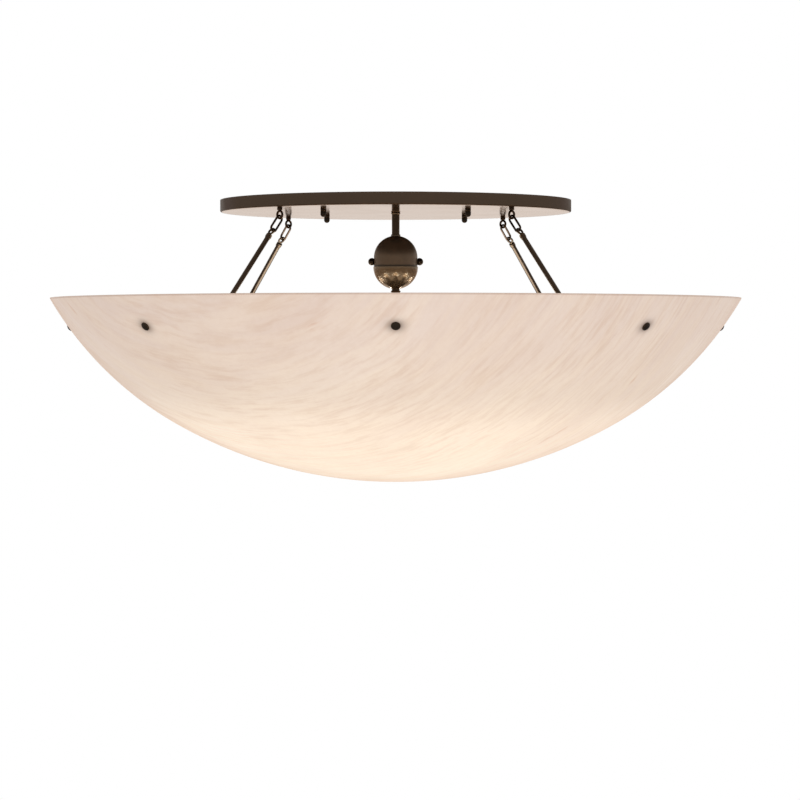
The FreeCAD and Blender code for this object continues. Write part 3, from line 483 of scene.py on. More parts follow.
class Tree:
    """Adds nodes to one shader tree, in few words."""

    def __init__(self, tree: bpy.types.NodeTree) -> None:
        """Keeps the tree that the nodes go to."""
        self.tree = tree

    def feed(self, node: Node, feeds: Feeds) -> None:
        """Links inputs of a node to sockets, or writes plain values to them.

        Args:
            node: the node.
            feeds: what goes to its inputs, by name or number.
        """
        for name, value in feeds.items():
            if isinstance(value, Socket):
                self.tree.links.new(value, node.inputs[name])
            else:
                node.inputs[name].default_value = value

    def add(self, kind: str, feeds: Feeds | None = None, **settings: object) -> Node:
        """Adds one node.

        Args:
            kind: the node's type, without its ShaderNode prefix.
            feeds: what goes to its inputs, by name or number.
            **settings: its own properties.

        Returns:
            The node.
        """
        node = self.tree.nodes.new("ShaderNode" + kind)
        for name, value in settings.items():
            setattr(node, name, value)
        self.feed(node, feeds or {})
        return node

    def calc(self, operation: str, *values: object) -> Socket:
        """One arithmetic step on up to three values."""
        return self.add("Math", dict(enumerate(values)), operation=operation).outputs[0]

    def times(self, first: object, second: object) -> Socket:
        """The product of two values."""
        return self.calc("MULTIPLY", first, second)

    def plus(self, first: object, second: object) -> Socket:
        """The sum of two values."""
        return self.calc("ADD", first, second)

    def vector(self, operation: str, first: object, second: object) -> Socket:
        """One arithmetic step on two vectors."""
        return self.add("VectorMath", {0: first, 1: second}, operation=operation).outputs[0]

    def parts(self, vector: object) -> tuple[Socket, ...]:
        """The three components of a vector."""
        return tuple(self.add("SeparateXYZ", {0: vector}).outputs)

    def mix(self, share: object, first: object, second: object, kind: str = "MIX") -> Socket:
        """A blend of two colours."""
        node = self.add("Mix", {0: share, 6: first, 7: second}, data_type="RGBA", blend_type=kind)
        return node.outputs[2]

    def spread(self, value: object, low: float, high: float, start: float = 0.0, end: float = 1.0) -> Socket:
        """A value carried from low..high to start..end along a smooth step, and held outside it."""
        feeds = {0: value, 1: low, 2: high, 3: start, 4: end}
        return self.add("MapRange", feeds, interpolation_type="SMOOTHSTEP").outputs[0]

    def noise(self, vector: object, scale: object, detail: float = 3.0, roughness: float = 0.5) -> Socket:
        """Cloudy noise between 0 and 1."""
        feeds = {"Vector": vector, "Scale": scale, "Detail": detail, "Roughness": roughness}
        return self.add("TexNoise", feeds).outputs[0]

    def clouds(self, scale: float, detail: float, low: float = 0.3, high: float = 0.7) -> Socket:
        """Noise on the light's own coordinates, drawn out to the full range."""
        return self.spread(self.noise(self.place(), scale, detail), low, high)

    def place(self) -> Socket:
        """The point's place in the object's own space, which is the light's frame."""
        return self.add("TexCoord").outputs["Object"]

    def from_axis(self, east: object, north: object) -> Socket:
        """The distance from the light's axis: sqrt(x^2 + y^2)."""
        return self.calc("SQRT", self.plus(self.calc("POWER", east, 2.0), self.calc("POWER", north, 2.0)))

    def facing(self) -> Socket:
        """How far the surface turns away from the eye: 0 seen square on, 1 seen edge on."""
        return self.add("LayerWeight", {"Blend": 0.5}).outputs["Facing"]

    def bump(self, height: object, strength: float, distance: float) -> Socket:
        """A normal bent by a height."""
        return self.add("Bump", {"Height": height, "Strength": strength, "Distance": distance}).outputs[0]


class EffectGroup:
    """A shader group that several finishes share; each kind is built once."""

    name = "effect"
    inputs: tuple[tuple[str, float], ...] = ()
    outputs: tuple[str, ...] = ()
    built: dict[str, bpy.types.NodeTree] = {}

    def fill(self, tree: Tree, given: Sockets) -> Sockets:
        """Adds the group's nodes.

        Args:
            tree: the group's tree.
            given: the group's inputs, by name.

        Returns:
            What goes to the group's outputs, by name.
        """
        raise NotImplementedError

    def group(self) -> bpy.types.NodeTree:
        """The group's tree, built at the first call.

        Returns:
            The tree.
        """
        if self.name not in EffectGroup.built:
            group = bpy.data.node_groups.new(self.name, "ShaderNodeTree")
            for label, value in self.inputs:
                socket = group.interface.new_socket(label, in_out="INPUT", socket_type="NodeSocketFloat")
                socket.default_value = value
            for label in self.outputs:
                group.interface.new_socket(label, in_out="OUTPUT", socket_type="NodeSocketFloat")
            source, sink = group.nodes.new("NodeGroupInput"), group.nodes.new("NodeGroupOutput")
            tree = Tree(group)
            tree.feed(sink, self.fill(tree, {label: source.outputs[label] for label, _ in self.inputs}))
            EffectGroup.built[self.name] = group
        return EffectGroup.built[self.name]

    def placed(self, tree: Tree, **values: float) -> bpy.types.bpy_prop_collection:
        """The outputs of this group's node in a material's tree, with its own values."""
        return tree.add("Group", values, node_tree=self.group()).outputs


class EdgeWear(EffectGroup):
    """Where a finish is rubbed off: edges, broken up by noise."""

    name = "edge_wear"
    inputs = (("Reach", 0.001), ("Grain", 300.0))
    outputs = ("Mask",)
    least_raised = 1.5
    most_raised = 9.0

    def fill(self, tree: Tree, given: Sockets) -> Sockets:
        """Compares the normal with one rounded over the reach: 1 - N . N', raised by noise.

        Args:
            tree: the group's tree.
            given: its inputs.

        Returns:
            Its outputs.
        """
        soft = tree.add("Bevel", {"Radius": given["Reach"]}, samples=4).outputs[0]
        plain = tree.add("NewGeometry").outputs["Normal"]
        turn = tree.add("VectorMath", {0: soft, 1: plain}, operation="DOT_PRODUCT").outputs["Value"]
        noise = tree.noise(tree.place(), given["Grain"])
        raised = tree.spread(noise, 0.3, 0.7, self.least_raised, self.most_raised)
        broken = tree.times(tree.calc("SUBTRACT", 1.0, turn), raised)
        return {"Mask": tree.calc("MINIMUM", broken, 1.0)}


class Patina(EffectGroup):
    """Uneven darkening of a bronze finish: wide clouds and fine specks."""

    name = "patina"
    inputs = (("Clouds", 18.0), ("Specks", 900.0))
    outputs = ("Cloud", "Speck")

    def fill(self, tree: Tree, given: Sockets) -> Sockets:
        """Two noises on the light's own coordinates.

        Args:
            tree: the group's tree.
            given: its inputs.

        Returns:
            Its outputs.
        """
        place = tree.place()
        cloud = tree.noise(place, given["Clouds"], 5.0)
        speck = tree.noise(place, given["Specks"], 2.0)
        return {"Cloud": tree.spread(cloud, 0.32, 0.68), "Speck": tree.spread(speck, 0.35, 0.75)}


class TurnedLines(EffectGroup):
    """Fine lines that a lathe leaves round the light's axis, or a brush along it."""

    name = "turned_lines"
    inputs = (("Lines", 900.0), ("Round", 6.0))
    outputs = ("Height",)

    def fill(self, tree: Tree, given: Sockets) -> Sockets:
        """Noise that is tight along Z and out from the axis, and long round it.

        Args:
            tree: the group's tree.
            given: its inputs.

        Returns:
            Its outputs.
        """
        east, north, height = tree.parts(tree.place())
        swing = tree.times(tree.calc("COSINE", tree.calc("ARCTAN2", north, east)), given["Round"])
        slow = tree.calc("DIVIDE", swing, 1 / MM)
        tight = tree.add("CombineXYZ", {0: tree.from_axis(east, north), 1: slow, 2: height})
        return {"Height": tree.noise(tight.outputs[0], given["Lines"], 2.0)}


class SettledDust(EffectGroup):
    """A thin pale film on what faces up."""

    name = "settled_dust"
    inputs = (("Amount", 0.2),)
    outputs = ("Mask",)

    def fill(self, tree: Tree, given: Sockets) -> Sockets:
        """The upward part of the normal times noise times the amount.

        Args:
            tree: the group's tree.
            given: its inputs.

        Returns:
            Its outputs.
        """
        _, _, up = tree.parts(tree.add("NewGeometry").outputs["Normal"])
        patch = tree.spread(tree.noise(tree.place(), 55.0, 4.0), 0.35, 0.7, 0.3, 1.0)
        settled = tree.times(tree.spread(up, 0.35, 0.95), patch)
        return {"Mask": tree.times(settled, given["Amount"])}


class Alabaster(EffectGroup):
    """Soft fibres, strands, patches and short warm veins that run one way through a flat sheet.

    The sheet was patterned flat and then pressed to a bowl, so the pattern follows the light's plan,
    and its height plays only a small part. Each bend is a noise's scale and its sway along the axes.
    """

    name = "alabaster"
    outputs = ("Fibres", "Strands", "Veins", "Clouds", "Grain")
    run_degrees = 33.0
    height_share = 0.25
    bends = ((2.2, (0.03, 0.075, 0.0)), (15.0, (0.004, 0.009, 0.0)))

    def fill(self, tree: Tree, given: Sockets) -> Sockets:
        """Noises stretched along the run of the sheet, on a plan that two wider noises bend.

        Args:
            tree: the group's tree.
            given: its inputs.

        Returns:
            Its outputs.
        """
        place = tree.place()
        run = (0, 0, math.radians(self.run_degrees))
        turned = tree.add("Mapping", {"Vector": place, "Rotation": run}).outputs[0]
        bent = tree.vector("MULTIPLY", turned, (1.0, 1.0, self.height_share))
        for scale, sway in self.bends:
            drift = tree.add("TexNoise", {"Vector": bent, "Scale": scale, "Detail": 2.0}).outputs["Color"]
            shift = tree.vector("SUBTRACT", drift, (0.5, 0.5, 0.5))
            bent = tree.vector("ADD", bent, tree.vector("MULTIPLY", shift, sway))

        def along(run: float, across: float, detail: float, roughness: float) -> Socket:
            """Noise with so many waves in a metre along the run and across it."""
            stretched = tree.vector("MULTIPLY", bent, (run, across, across * 0.5))
            return tree.noise(stretched, 1.0, detail, roughness)

        patchy = tree.spread(along(6.0, 14.0, 3.0, 0.5), 0.36, 0.62, 0.3, 1.0)
        thread = tree.spread(along(21.0, 185.0, 4.0, 0.6), 0.40, 0.72)
        streak = tree.spread(along(15.0, 110.0, 3.0, 0.5), 0.63, 0.74)
        chosen = tree.spread(along(4.5, 6.0, 2.0, 0.5), 0.50, 0.64)
        return {
            "Fibres": tree.times(thread, patchy),
            "Strands": tree.spread(along(9.0, 58.0, 4.0, 0.58), 0.34, 0.68),
            "Veins": tree.times(streak, chosen),
            "Clouds": tree.spread(along(4.0, 9.0, 5.0, 0.6), 0.33, 0.67),
            "Grain": tree.spread(tree.noise(place, 170.0, 3.0, 0.6), 0.3, 0.7),
        }


class ScrewShade(EffectGroup):
    """The soft shade that washers and lugs behind a translucent wall throw round its screws."""

    name = "screw_shade"
    inputs = (("Height", -0.1686), ("Count", 8.0), ("Wide", 0.0105), ("High", 0.0068))
    outputs = ("Mask",)

    def fill(self, tree: Tree, given: Sockets) -> Sockets:
        """exp(-(s / wide)^2 - (h / high)^2), with s and h the distances round and up from a screw.

        Args:
            tree: the group's tree.
            given: its inputs.

        Returns:
            Its outputs.
        """
        east, north, height = tree.parts(tree.place())
        step = tree.calc("DIVIDE", TURN, given["Count"])
        angle = tree.plus(tree.calc("ARCTAN2", north, east), 2 * TURN + math.pi / 2)
        share = tree.plus(tree.calc("DIVIDE", angle, step), 0.5)
        swing = tree.times(tree.calc("SUBTRACT", tree.calc("FRACT", share), 0.5), step)
        sideways = tree.calc("DIVIDE", tree.times(swing, tree.from_axis(east, north)), given["Wide"])
        upward = tree.calc("DIVIDE", tree.calc("SUBTRACT", height, given["Height"]), given["High"])
        far = tree.plus(tree.times(sideways, sideways), tree.times(upward, upward))
        return {"Mask": tree.calc("EXPONENT", tree.times(far, -1.0))}


# ---------------- finishes

DUST_ROUGHNESS = 0.4


@dataclass(frozen=True)
class Finish:
    """A named finish; each kind says what it feeds to the shader."""

    name: str

    def feeds(self, tree: Tree) -> Feeds:
        """What goes to the shader's inputs, by name.

        Args:
            tree: the material's tree.

        Returns:
            The shader's inputs.
        """
        raise NotImplementedError

    def material(self) -> Material:
        """Builds the material: the kind's own nodes, one shader and the output.

        Returns:
            The material.
        """
        material = bpy.data.materials.new(self.name)
        material.use_nodes = True
        material.node_tree.nodes.clear()
        tree = Tree(material.node_tree)
        shader = tree.add("BsdfPrincipled", self.feeds(tree))
        tree.add("OutputMaterial", {"Surface": shader.outputs["BSDF"]})
        return material


@dataclass(frozen=True)
class Bronze(Finish):
    """Dark oil-rubbed bronze: a brown metal under a darker film that thins out at the edges."""

    film: Colour
    metal: Colour
    rubbed: Colour
    roughness: float = 0.34
    uneven: float = 0.5
    roughness_swing: float = 0.28
    edge_reach: float = 0.8 * MM
    edge_share: float = 0.6
    speck_share: float = 0.25
    line_strength: float = 0.05
    line_depth: float = 0.02 * MM
    metallic: float = 1.0
    grazing: Colour = (1.0, 0.86, 0.74, 1.0)
    slanting: Colour | None = None
    slant_end: float = 0.82
    graze_start: float = 0.94
    seam_height: float | None = None
    seam_reach: float = 3.2 * MM
    # Painted shade: a dark band right above the seam, with its colour, its share and where it is full.
    seam_shade: Colour = srgb(22, 17, 12)
    seam_shade_share: float = 0.8
    seam_shade_full: float = 0.4
    dust: Colour = srgb(150, 140, 128)
    dust_amount: float = 0.10

    def feeds(self, tree: Tree) -> Feeds:
        """The film over the metal, then specks, worn edges, painted shade above the seam and dust.

        Args:
            tree: the material's tree.

        Returns:
            The shader's inputs.
        """
        patina = Patina().placed(tree)
        edges = EdgeWear().placed(tree, Reach=self.edge_reach)["Mask"]
        body = tree.mix(tree.times(patina["Cloud"], self.uneven), self.film, self.metal)
        body = tree.mix(tree.times(patina["Speck"], self.speck_share), body, self.film)
        body = tree.mix(tree.times(edges, self.edge_share), body, self.rubbed)
        # Painted shade in a band right above the ball's seam, where a seam is given.
        if self.seam_height is not None:
            body = self.seam_shaded(tree, body)
        dust = SettledDust().placed(tree, Amount=self.dust_amount)["Mask"]
        swing = self.roughness_swing * self.uneven
        smooth, rough = self.roughness * (1 - swing), self.roughness * (1 + swing)
        uneven = tree.spread(patina["Cloud"], 0.0, 1.0, smooth, rough)
        feeds = {
            "Base Color": tree.mix(dust, body, self.dust),
            "Roughness": tree.plus(uneven, tree.times(dust, DUST_ROUGHNESS)),
            "Metallic": self.metallic,
            "Specular Tint": self.tint(tree),
        }
        if self.line_strength:
            lines = TurnedLines().placed(tree)["Height"]
            feeds["Normal"] = tree.bump(lines, self.line_strength, self.line_depth)
        return feeds

    def seam_shaded(self, tree: Tree, body: Socket) -> Socket:
        """The colour with painted shade over it, in a dark band right above the seam where the lower half's
        lip meets it.

        Args:
            tree: the material's tree.
            body: the colour so far.

        Returns:
            The colour.
        """
        _, _, height = tree.parts(tree.place())
        end, full = self.seam_height + self.seam_reach, self.seam_height + self.seam_reach * self.seam_shade_full
        return tree.mix(tree.times(tree.spread(height, end, full), self.seam_shade_share), body, self.seam_shade)

    def tint(self, tree: Tree) -> object:
        """The tint of reflections: the grazing one, or slanting first and grazing last where both are set.

        Args:
            tree: the material's tree.

        Returns:
            A colour or a socket.
        """
        if self.slanting is None:
            return self.grazing
        graze = tree.spread(tree.facing(), self.slant_end, self.graze_start)
        return tree.mix(graze, self.slanting, self.grazing)


@dataclass(frozen=True)
class Zinc(Finish):
    """Zinc-plated steel: pale grey with the plating's spangle and a little dust."""

    metal: Colour = srgb(178, 180, 180)
    shade: Colour = srgb(140, 143, 146)
    roughness: float = 0.32
    bright: Colour = srgb(205, 206, 205)
    edge_reach: float = 0.4 * MM
    edge_share: float = 0.5
    spangles: float = 260.0
    dust: Colour = srgb(168, 162, 152)
    dust_amount: float = 0.35

    def feeds(self, tree: Tree) -> Feeds:
        """Spangle from cells, brighter edges and dust.

        Args:
            tree: the material's tree.

        Returns:
            The shader's inputs.
        """
        cells = tree.add("TexVoronoi", {"Vector": tree.place(), "Scale": self.spangles})
        spangle = tree.add("SeparateColor", {0: cells.outputs["Color"]}).outputs[0]
        edges = EdgeWear().placed(tree, Reach=self.edge_reach)["Mask"]
        dust = SettledDust().placed(tree, Amount=self.dust_amount)["Mask"]
        body = tree.mix(spangle, self.metal, self.shade)
        body = tree.mix(tree.times(edges, self.edge_share), body, self.bright)
        uneven = tree.spread(spangle, 0.0, 1.0, self.roughness * 0.8, self.roughness * 1.3)
        return {
            "Base Color": tree.mix(dust, body, self.dust),
            "Roughness": tree.plus(uneven, tree.times(dust, DUST_ROUGHNESS)),
            "Metallic": 1.0,
        }


@dataclass(frozen=True)
class Enamel(Finish):
    """Baked enamel: a smooth pale coat with orange peel, a trace of dust and thin edges."""

    coat: Colour = srgb(238, 232, 222)
    under: Colour = srgb(190, 184, 172)
    roughness: float = 0.3
    cloud_share: float = 0.25
    edge_reach: float = 0.6 * MM
    edge_share: float = 0.35
    dust: Colour = srgb(186, 176, 160)
    dust_amount: float = 0.22

    def feeds(self, tree: Tree) -> Feeds:
        """A clouded coat, thin at the edges, with dust and orange peel.

        Args:
            tree: the material's tree.

        Returns:
            The shader's inputs.
        """
        clouds = tree.clouds(14.0, 4.0)
        edges = EdgeWear().placed(tree, Reach=self.edge_reach)["Mask"]
        dust = SettledDust().placed(tree, Amount=self.dust_amount)["Mask"]
        body = tree.mix(tree.times(clouds, self.cloud_share), self.coat, self.under)
        body = tree.mix(tree.times(edges, self.edge_share), body, self.under)
        return {
            "Base Color": tree.mix(dust, body, self.dust),
            "Roughness": tree.spread(clouds, 0.0, 1.0, self.roughness * 0.85, self.roughness * 1.2),
            "Normal": tree.bump(tree.noise(tree.place(), 420.0, 2.0), 0.08, 0.05 * MM),
        }


@dataclass(frozen=True)
class BowlSheet(Finish):
    """The bowl's translucent sheet, veined like alabaster and lit from inside."""

    rim_height: float
    bottom_height: float
    screw_height: float
    # Painted light: greyer pink towards the rim, brighter cream towards the bottom.
    high: Colour = srgb(237, 220, 209)
    low: Colour = srgb(255, 238, 217)
    rosy: Colour = srgb(222, 196, 180)
    cream: Colour = srgb(255, 238, 214)
    fibre: Colour = srgb(210, 174, 146)
    vein: Colour = srgb(206, 146, 98)
    rim: Colour = srgb(190, 164, 148)
    rim_width: float = 2.8 * MM
    rim_share: float = 0.5
    # Painted shade where the bowl is seen edge on: it stands for less light at the outline as well as the
    # thicker sheet seen slanting.
    depth: Colour = srgb(206, 164, 130)
    outline_shade_share: float = 0.42
    shade: Colour = srgb(92, 74, 64)
    shade_share: float = 0.85
    paint_share: float = 0.55
    glow: float = 0.60
    glow_top: float = 0.52
    glow_full: float = 0.18
    far_light: Colour = srgb(203, 198, 194)
    near_light: Colour = srgb(236, 232, 228)
    index: float = 1.49
    gloss: float = 0.12

    def feeds(self, tree: Tree) -> Feeds:
        """Colour by height, painted brighter towards the bottom, and by pattern, then rim, painted shade
        where the bowl is seen edge on, and the screws' shade; the same glows.

        Args:
            tree: the material's tree.

        Returns:
            The shader's inputs.
        """
        _, _, height = tree.parts(tree.place())
        climb = tree.spread(height, self.bottom_height, self.rim_height)
        stone = Alabaster().placed(tree)
        # Painted light: the sheet runs brighter towards the bottom.
        body = tree.mix(climb, self.low, self.high)
        for mask, share, colour in (
            ("Clouds", 0.34, self.rosy), ("Strands", 0.20, self.cream), ("Fibres", 0.30, self.fibre),
            ("Veins", 0.34, self.vein), ("Grain", 0.06, self.fibre),
        ):
            body = tree.mix(tree.times(stone[mask], share), body, colour)
        edge = tree.spread(height, self.rim_height - self.rim_width, self.rim_height - self.rim_width / 2)
        body = tree.mix(tree.times(edge, self.rim_share), body, self.rim)
        # Painted shade at the outline, partly the thicker sheet seen slanting.
        body = tree.mix(tree.spread(tree.facing(), 0.80, 1.0, 0.0, self.outline_shade_share), body, self.depth)
        halo = ScrewShade().placed(tree, Height=self.screw_height)["Mask"]
        body = tree.mix(tree.times(halo, self.shade_share), body, self.shade)
        light = tree.mix(tree.spread(climb, self.glow_top, self.glow_full), self.far_light, self.near_light)
        ripple = tree.plus(stone["Strands"], tree.times(stone["Fibres"], 0.4))
        return {
            "Base Color": tree.mix(1.0, body, (self.paint_share,) * 3 + (1.0,), "MULTIPLY"),
            "Roughness": tree.spread(stone["Strands"], 0.0, 1.0, 0.40, 0.52),
            "IOR": self.index,
            "Specular IOR Level": self.gloss,
            "Normal": tree.bump(ripple, 0.10, 0.12 * MM),
            "Emission Color": tree.mix(1.0, body, light, "MULTIPLY"),
            "Emission Strength": self.glow,
        }


@dataclass(frozen=True)
class Ceramic(Finish):
    """Glazed white ceramic, a little uneven, darker where the glaze is thin."""

    glaze: Colour = srgb(240, 238, 231)
    thin: Colour = srgb(205, 198, 184)
    pool_share: float = 0.3
    edge_reach: float = 0.9 * MM
    edge_share: float = 0.5

    def feeds(self, tree: Tree) -> Feeds:
        """Glaze that pools and runs thin at the edges.

        Args:
            tree: the material's tree.

        Returns:
            The shader's inputs.
        """
        pool = tree.clouds(60.0, 4.0)
        edges = EdgeWear().placed(tree, Reach=self.edge_reach)["Mask"]
        body = tree.mix(tree.times(pool, self.pool_share), self.glaze, self.thin)
        return {
            "Base Color": tree.mix(tree.times(edges, self.edge_share), body, self.thin),
            "Roughness": tree.spread(pool, 0.0, 1.0, 0.12, 0.22),
            "Normal": tree.bump(pool, 0.15, 0.1 * MM),
        }


@dataclass(frozen=True)
class FrostedGlass(Finish):
    """A bulb's frosted glass, lit: it gives more light than the plain bright glow it shows."""

    glass: Colour = srgb(92, 88, 82)
    bare: Colour = srgb(112, 108, 100)
    bare_share: float = 0.3
    glow: Colour = srgb(255, 242, 222)
    warm_glow: Colour = srgb(255, 226, 190)
    warm_share: float = 0.4
    strength: float = 5.0
    shown: float = 1.08
    shown_edge: float = 0.76

    def feeds(self, tree: Tree) -> Feeds:
        """Frost in clouds, and a glow of (1 - c) s + c v, with c 1 for the camera and v what it shows.

        Args:
            tree: the material's tree.

        Returns:
            The shader's inputs.
        """
        frost = tree.clouds(90.0, 3.0)
        shown = tree.spread(tree.facing(), 0.1, 0.9, self.shown, self.shown_edge)
        seen = tree.add("LightPath").outputs["Is Camera Ray"]
        given = tree.times(tree.calc("SUBTRACT", 1.0, seen), self.strength)
        return {
            "Base Color": tree.mix(tree.times(frost, self.bare_share), self.glass, self.bare),
            "Roughness": tree.spread(frost, 0.0, 1.0, 0.35, 0.5),
            "Emission Color": tree.mix(tree.times(frost, self.warm_share), self.glow, self.warm_glow),
            "Emission Strength": tree.plus(given, tree.times(seen, shown)),
        }


@dataclass(frozen=True)
class Rubber(Finish):
    """Soft matt rubber with a fine grain."""

    body: Colour = srgb(66, 62, 58)
    bloom: Colour = srgb(104, 99, 92)
    bloom_share: float = 0.5

    def feeds(self, tree: Tree) -> Feeds:
        """Clouds of bloom and a fine grain.

        Args:
            tree: the material's tree.

        Returns:
            The shader's inputs.
        """
        grain = tree.noise(tree.place(), 700.0, 4.0, 0.6)
        clouds = tree.clouds(80.0, 4.0, 0.35, 0.7)
        return {
            "Base Color": tree.mix(tree.times(clouds, self.bloom_share), self.body, self.bloom),
            "Roughness": tree.spread(grain, 0.3, 0.7, 0.62, 0.85),
            "Normal": tree.bump(grain, 0.3, 0.08 * MM),
        }


@dataclass(frozen=True)
class FloorPaint(Finish):
    """Pale matt paint that is lifted where the camera sees it, so that it fades to the surroundings."""

    pale: Colour = srgb(238, 237, 234)
    paler: Colour = srgb(242, 241, 239)
    roughness: float = 0.9
    lift: float = 0.33

    def feeds(self, tree: Tree) -> Feeds:
        """Wide clouds of two paints, and the lift for camera rays.

        Args:
            tree: the material's tree.

        Returns:
            The shader's inputs.
        """
        seen = tree.add("LightPath").outputs["Is Camera Ray"]
        return {
            "Base Color": tree.mix(tree.noise(tree.place(), 3.0), self.pale, self.paler),
            "Roughness": self.roughness,
            "Emission Color": WHITE,
            "Emission Strength": tree.spread(seen, 0.0, 1.0, 0.0, self.lift),
        }


def shelved(finish: Finish) -> Material:
    """The place of one finish on the shelf; its material is built with the shelf."""
    return field(default_factory=finish.material)


RUBBED_BRONZE = srgb(150, 112, 74)
DULL_GRAZING = (0.40, 0.35, 0.30, 1.0)


@dataclass(frozen=True)
class FinishShelf:
    """Every finish of the light, each built once. Bronzes give film, metal and rubbed colour."""

    pan: Material = shelved(Bronze(
        "pan_bronze_finish", srgb(78, 64, 53), srgb(86, 72, 60), srgb(62, 50, 40), 0.13, 0.16,
        line_strength=0.02, grazing=(0.92, 0.62, 0.40, 1.0), slanting=(0.52, 0.46, 0.40, 1.0)))
    pan_edge: Material = shelved(Bronze(
        "pan_edge_finish", srgb(66, 53, 42), srgb(74, 61, 50), srgb(46, 37, 29), 0.42,
        grazing=DULL_GRAZING, metallic=0.7))
    stem: Material = shelved(Bronze(
        "stem_bronze_finish", srgb(52, 41, 31), srgb(64, 52, 40), RUBBED_BRONZE, 0.32))
    # The upper half carries painted shade in a band right above the seam.
    ball_upper: Material = shelved(Bronze(
        "ball_upper_finish", srgb(80, 65, 51), srgb(94, 78, 62), srgb(80, 65, 50), 0.44,
        metallic=0.5, seam_height=-88.0 * MM))
    # A lighter copy of the ball's bronze: painted light, for the brighter look of the lower half that faces
    # the lit bowl.
    ball_lower: Material = shelved(Bronze(
        "ball_lower_finish", srgb(92, 76, 58), srgb(106, 90, 70), srgb(92, 75, 56), 0.21, metallic=0.65))
    rod: Material = shelved(Bronze(
        "rod_bronze_finish", srgb(48, 37, 28), srgb(60, 48, 38), RUBBED_BRONZE, 0.34,
        line_strength=0.0, grazing=(0.95, 0.90, 0.82, 1.0)))
    chain: Material = shelved(Bronze(
        "chain_bronze_finish", srgb(40, 31, 25), srgb(62, 46, 35), RUBBED_BRONZE, 0.34, line_strength=0.0))
    knob: Material = shelved(Bronze(
        "knob_finish", srgb(38, 30, 23), srgb(50, 40, 31), RUBBED_BRONZE, 0.20))
    fastener: Material = shelved(Bronze(
        "fastener_finish", srgb(34, 28, 23), srgb(50, 40, 32), RUBBED_BRONZE, 0.38,
        grazing=DULL_GRAZING, metallic=0.7))
    zinc: Material = shelved(Zinc("zinc_finish"))
    earth: Material = shelved(Enamel("earth_green_finish", srgb(52, 128, 66), srgb(36, 92, 48), 0.25))
    hub: Material = shelved(Enamel("hub_enamel_finish"))
    frame: Material = shelved(Enamel("frame_enamel_finish", srgb(240, 234, 222), srgb(204, 196, 182)))
    ceramic: Material = shelved(Ceramic("socket_ceramic_finish"))
    bulb_metal: Material = shelved(Zinc("bulb_metal_finish", srgb(196, 194, 188), srgb(170, 168, 162), 0.26))
    bulb_glass: Material = shelved(FrostedGlass("bulb_glass_finish"))
    rubber: Material = shelved(Rubber("rubber_finish"))


# ---------------- pieces

def add_object(name: str, data: bpy.types.ID) -> bpy.types.Object:
    """Puts an object that holds the data into the scene.

    Args:
        name: the object's name.
        data: its mesh, lamp or camera.

    Returns:
        The object.
    """
    thing = bpy.data.objects.new(name, data)
    bpy.context.scene.collection.objects.link(thing)
    return thing


def mesh_of(name: str, surface: Surface, material: Material) -> bpy.types.Mesh:
    """A mesh of a skin, in one finish.

    Args:
        name: the mesh's name.
        surface: the skin.
        material: the finish.

    Returns:
        The mesh.
    """
    mesh = bpy.data.meshes.new(name)
    mesh.from_pydata(surface.points.tolist(), [], surface.quads.tolist() + surface.triangles.tolist())
    mesh.materials.append(material)
    return mesh


def add_piece(name: str, surface: Surface, material: Material, node: str,
              sharp: float = 32.0) -> bpy.types.Object:
    """Makes one piece that stands for a CAD node and rides on its body, and logs it.

    Args:
        name: the piece's name.
        surface: its skin.
        material: its finish.
        node: the node that it replaces.
        sharp: the angle in degrees past which an edge is shaded sharp.

    Returns:
        The piece.
    """
    mesh = mesh_of(name, surface, material)
    mesh.polygons.foreach_set("use_smooth", np.ones(len(mesh.polygons), bool))
    mesh.set_sharp_from_angle(angle=math.radians(sharp))
    piece = add_object(name, mesh)
    body = body_of_node(node)
    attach(piece, body)
    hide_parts(node)
    LOG.info("%s: %d faces on %s", name, len(mesh.polygons), body)
    return piece


def dress_node(node: str, material: Material) -> None:
    """Gives a CAD node that stays its finish.

    Args:
        node: the node's name.
        material: its finish.
    """
    mesh = frame["nodes"][node].data
    mesh.materials.clear()
    mesh.materials.append(material)
    LOG.info("%s: dressed", node)


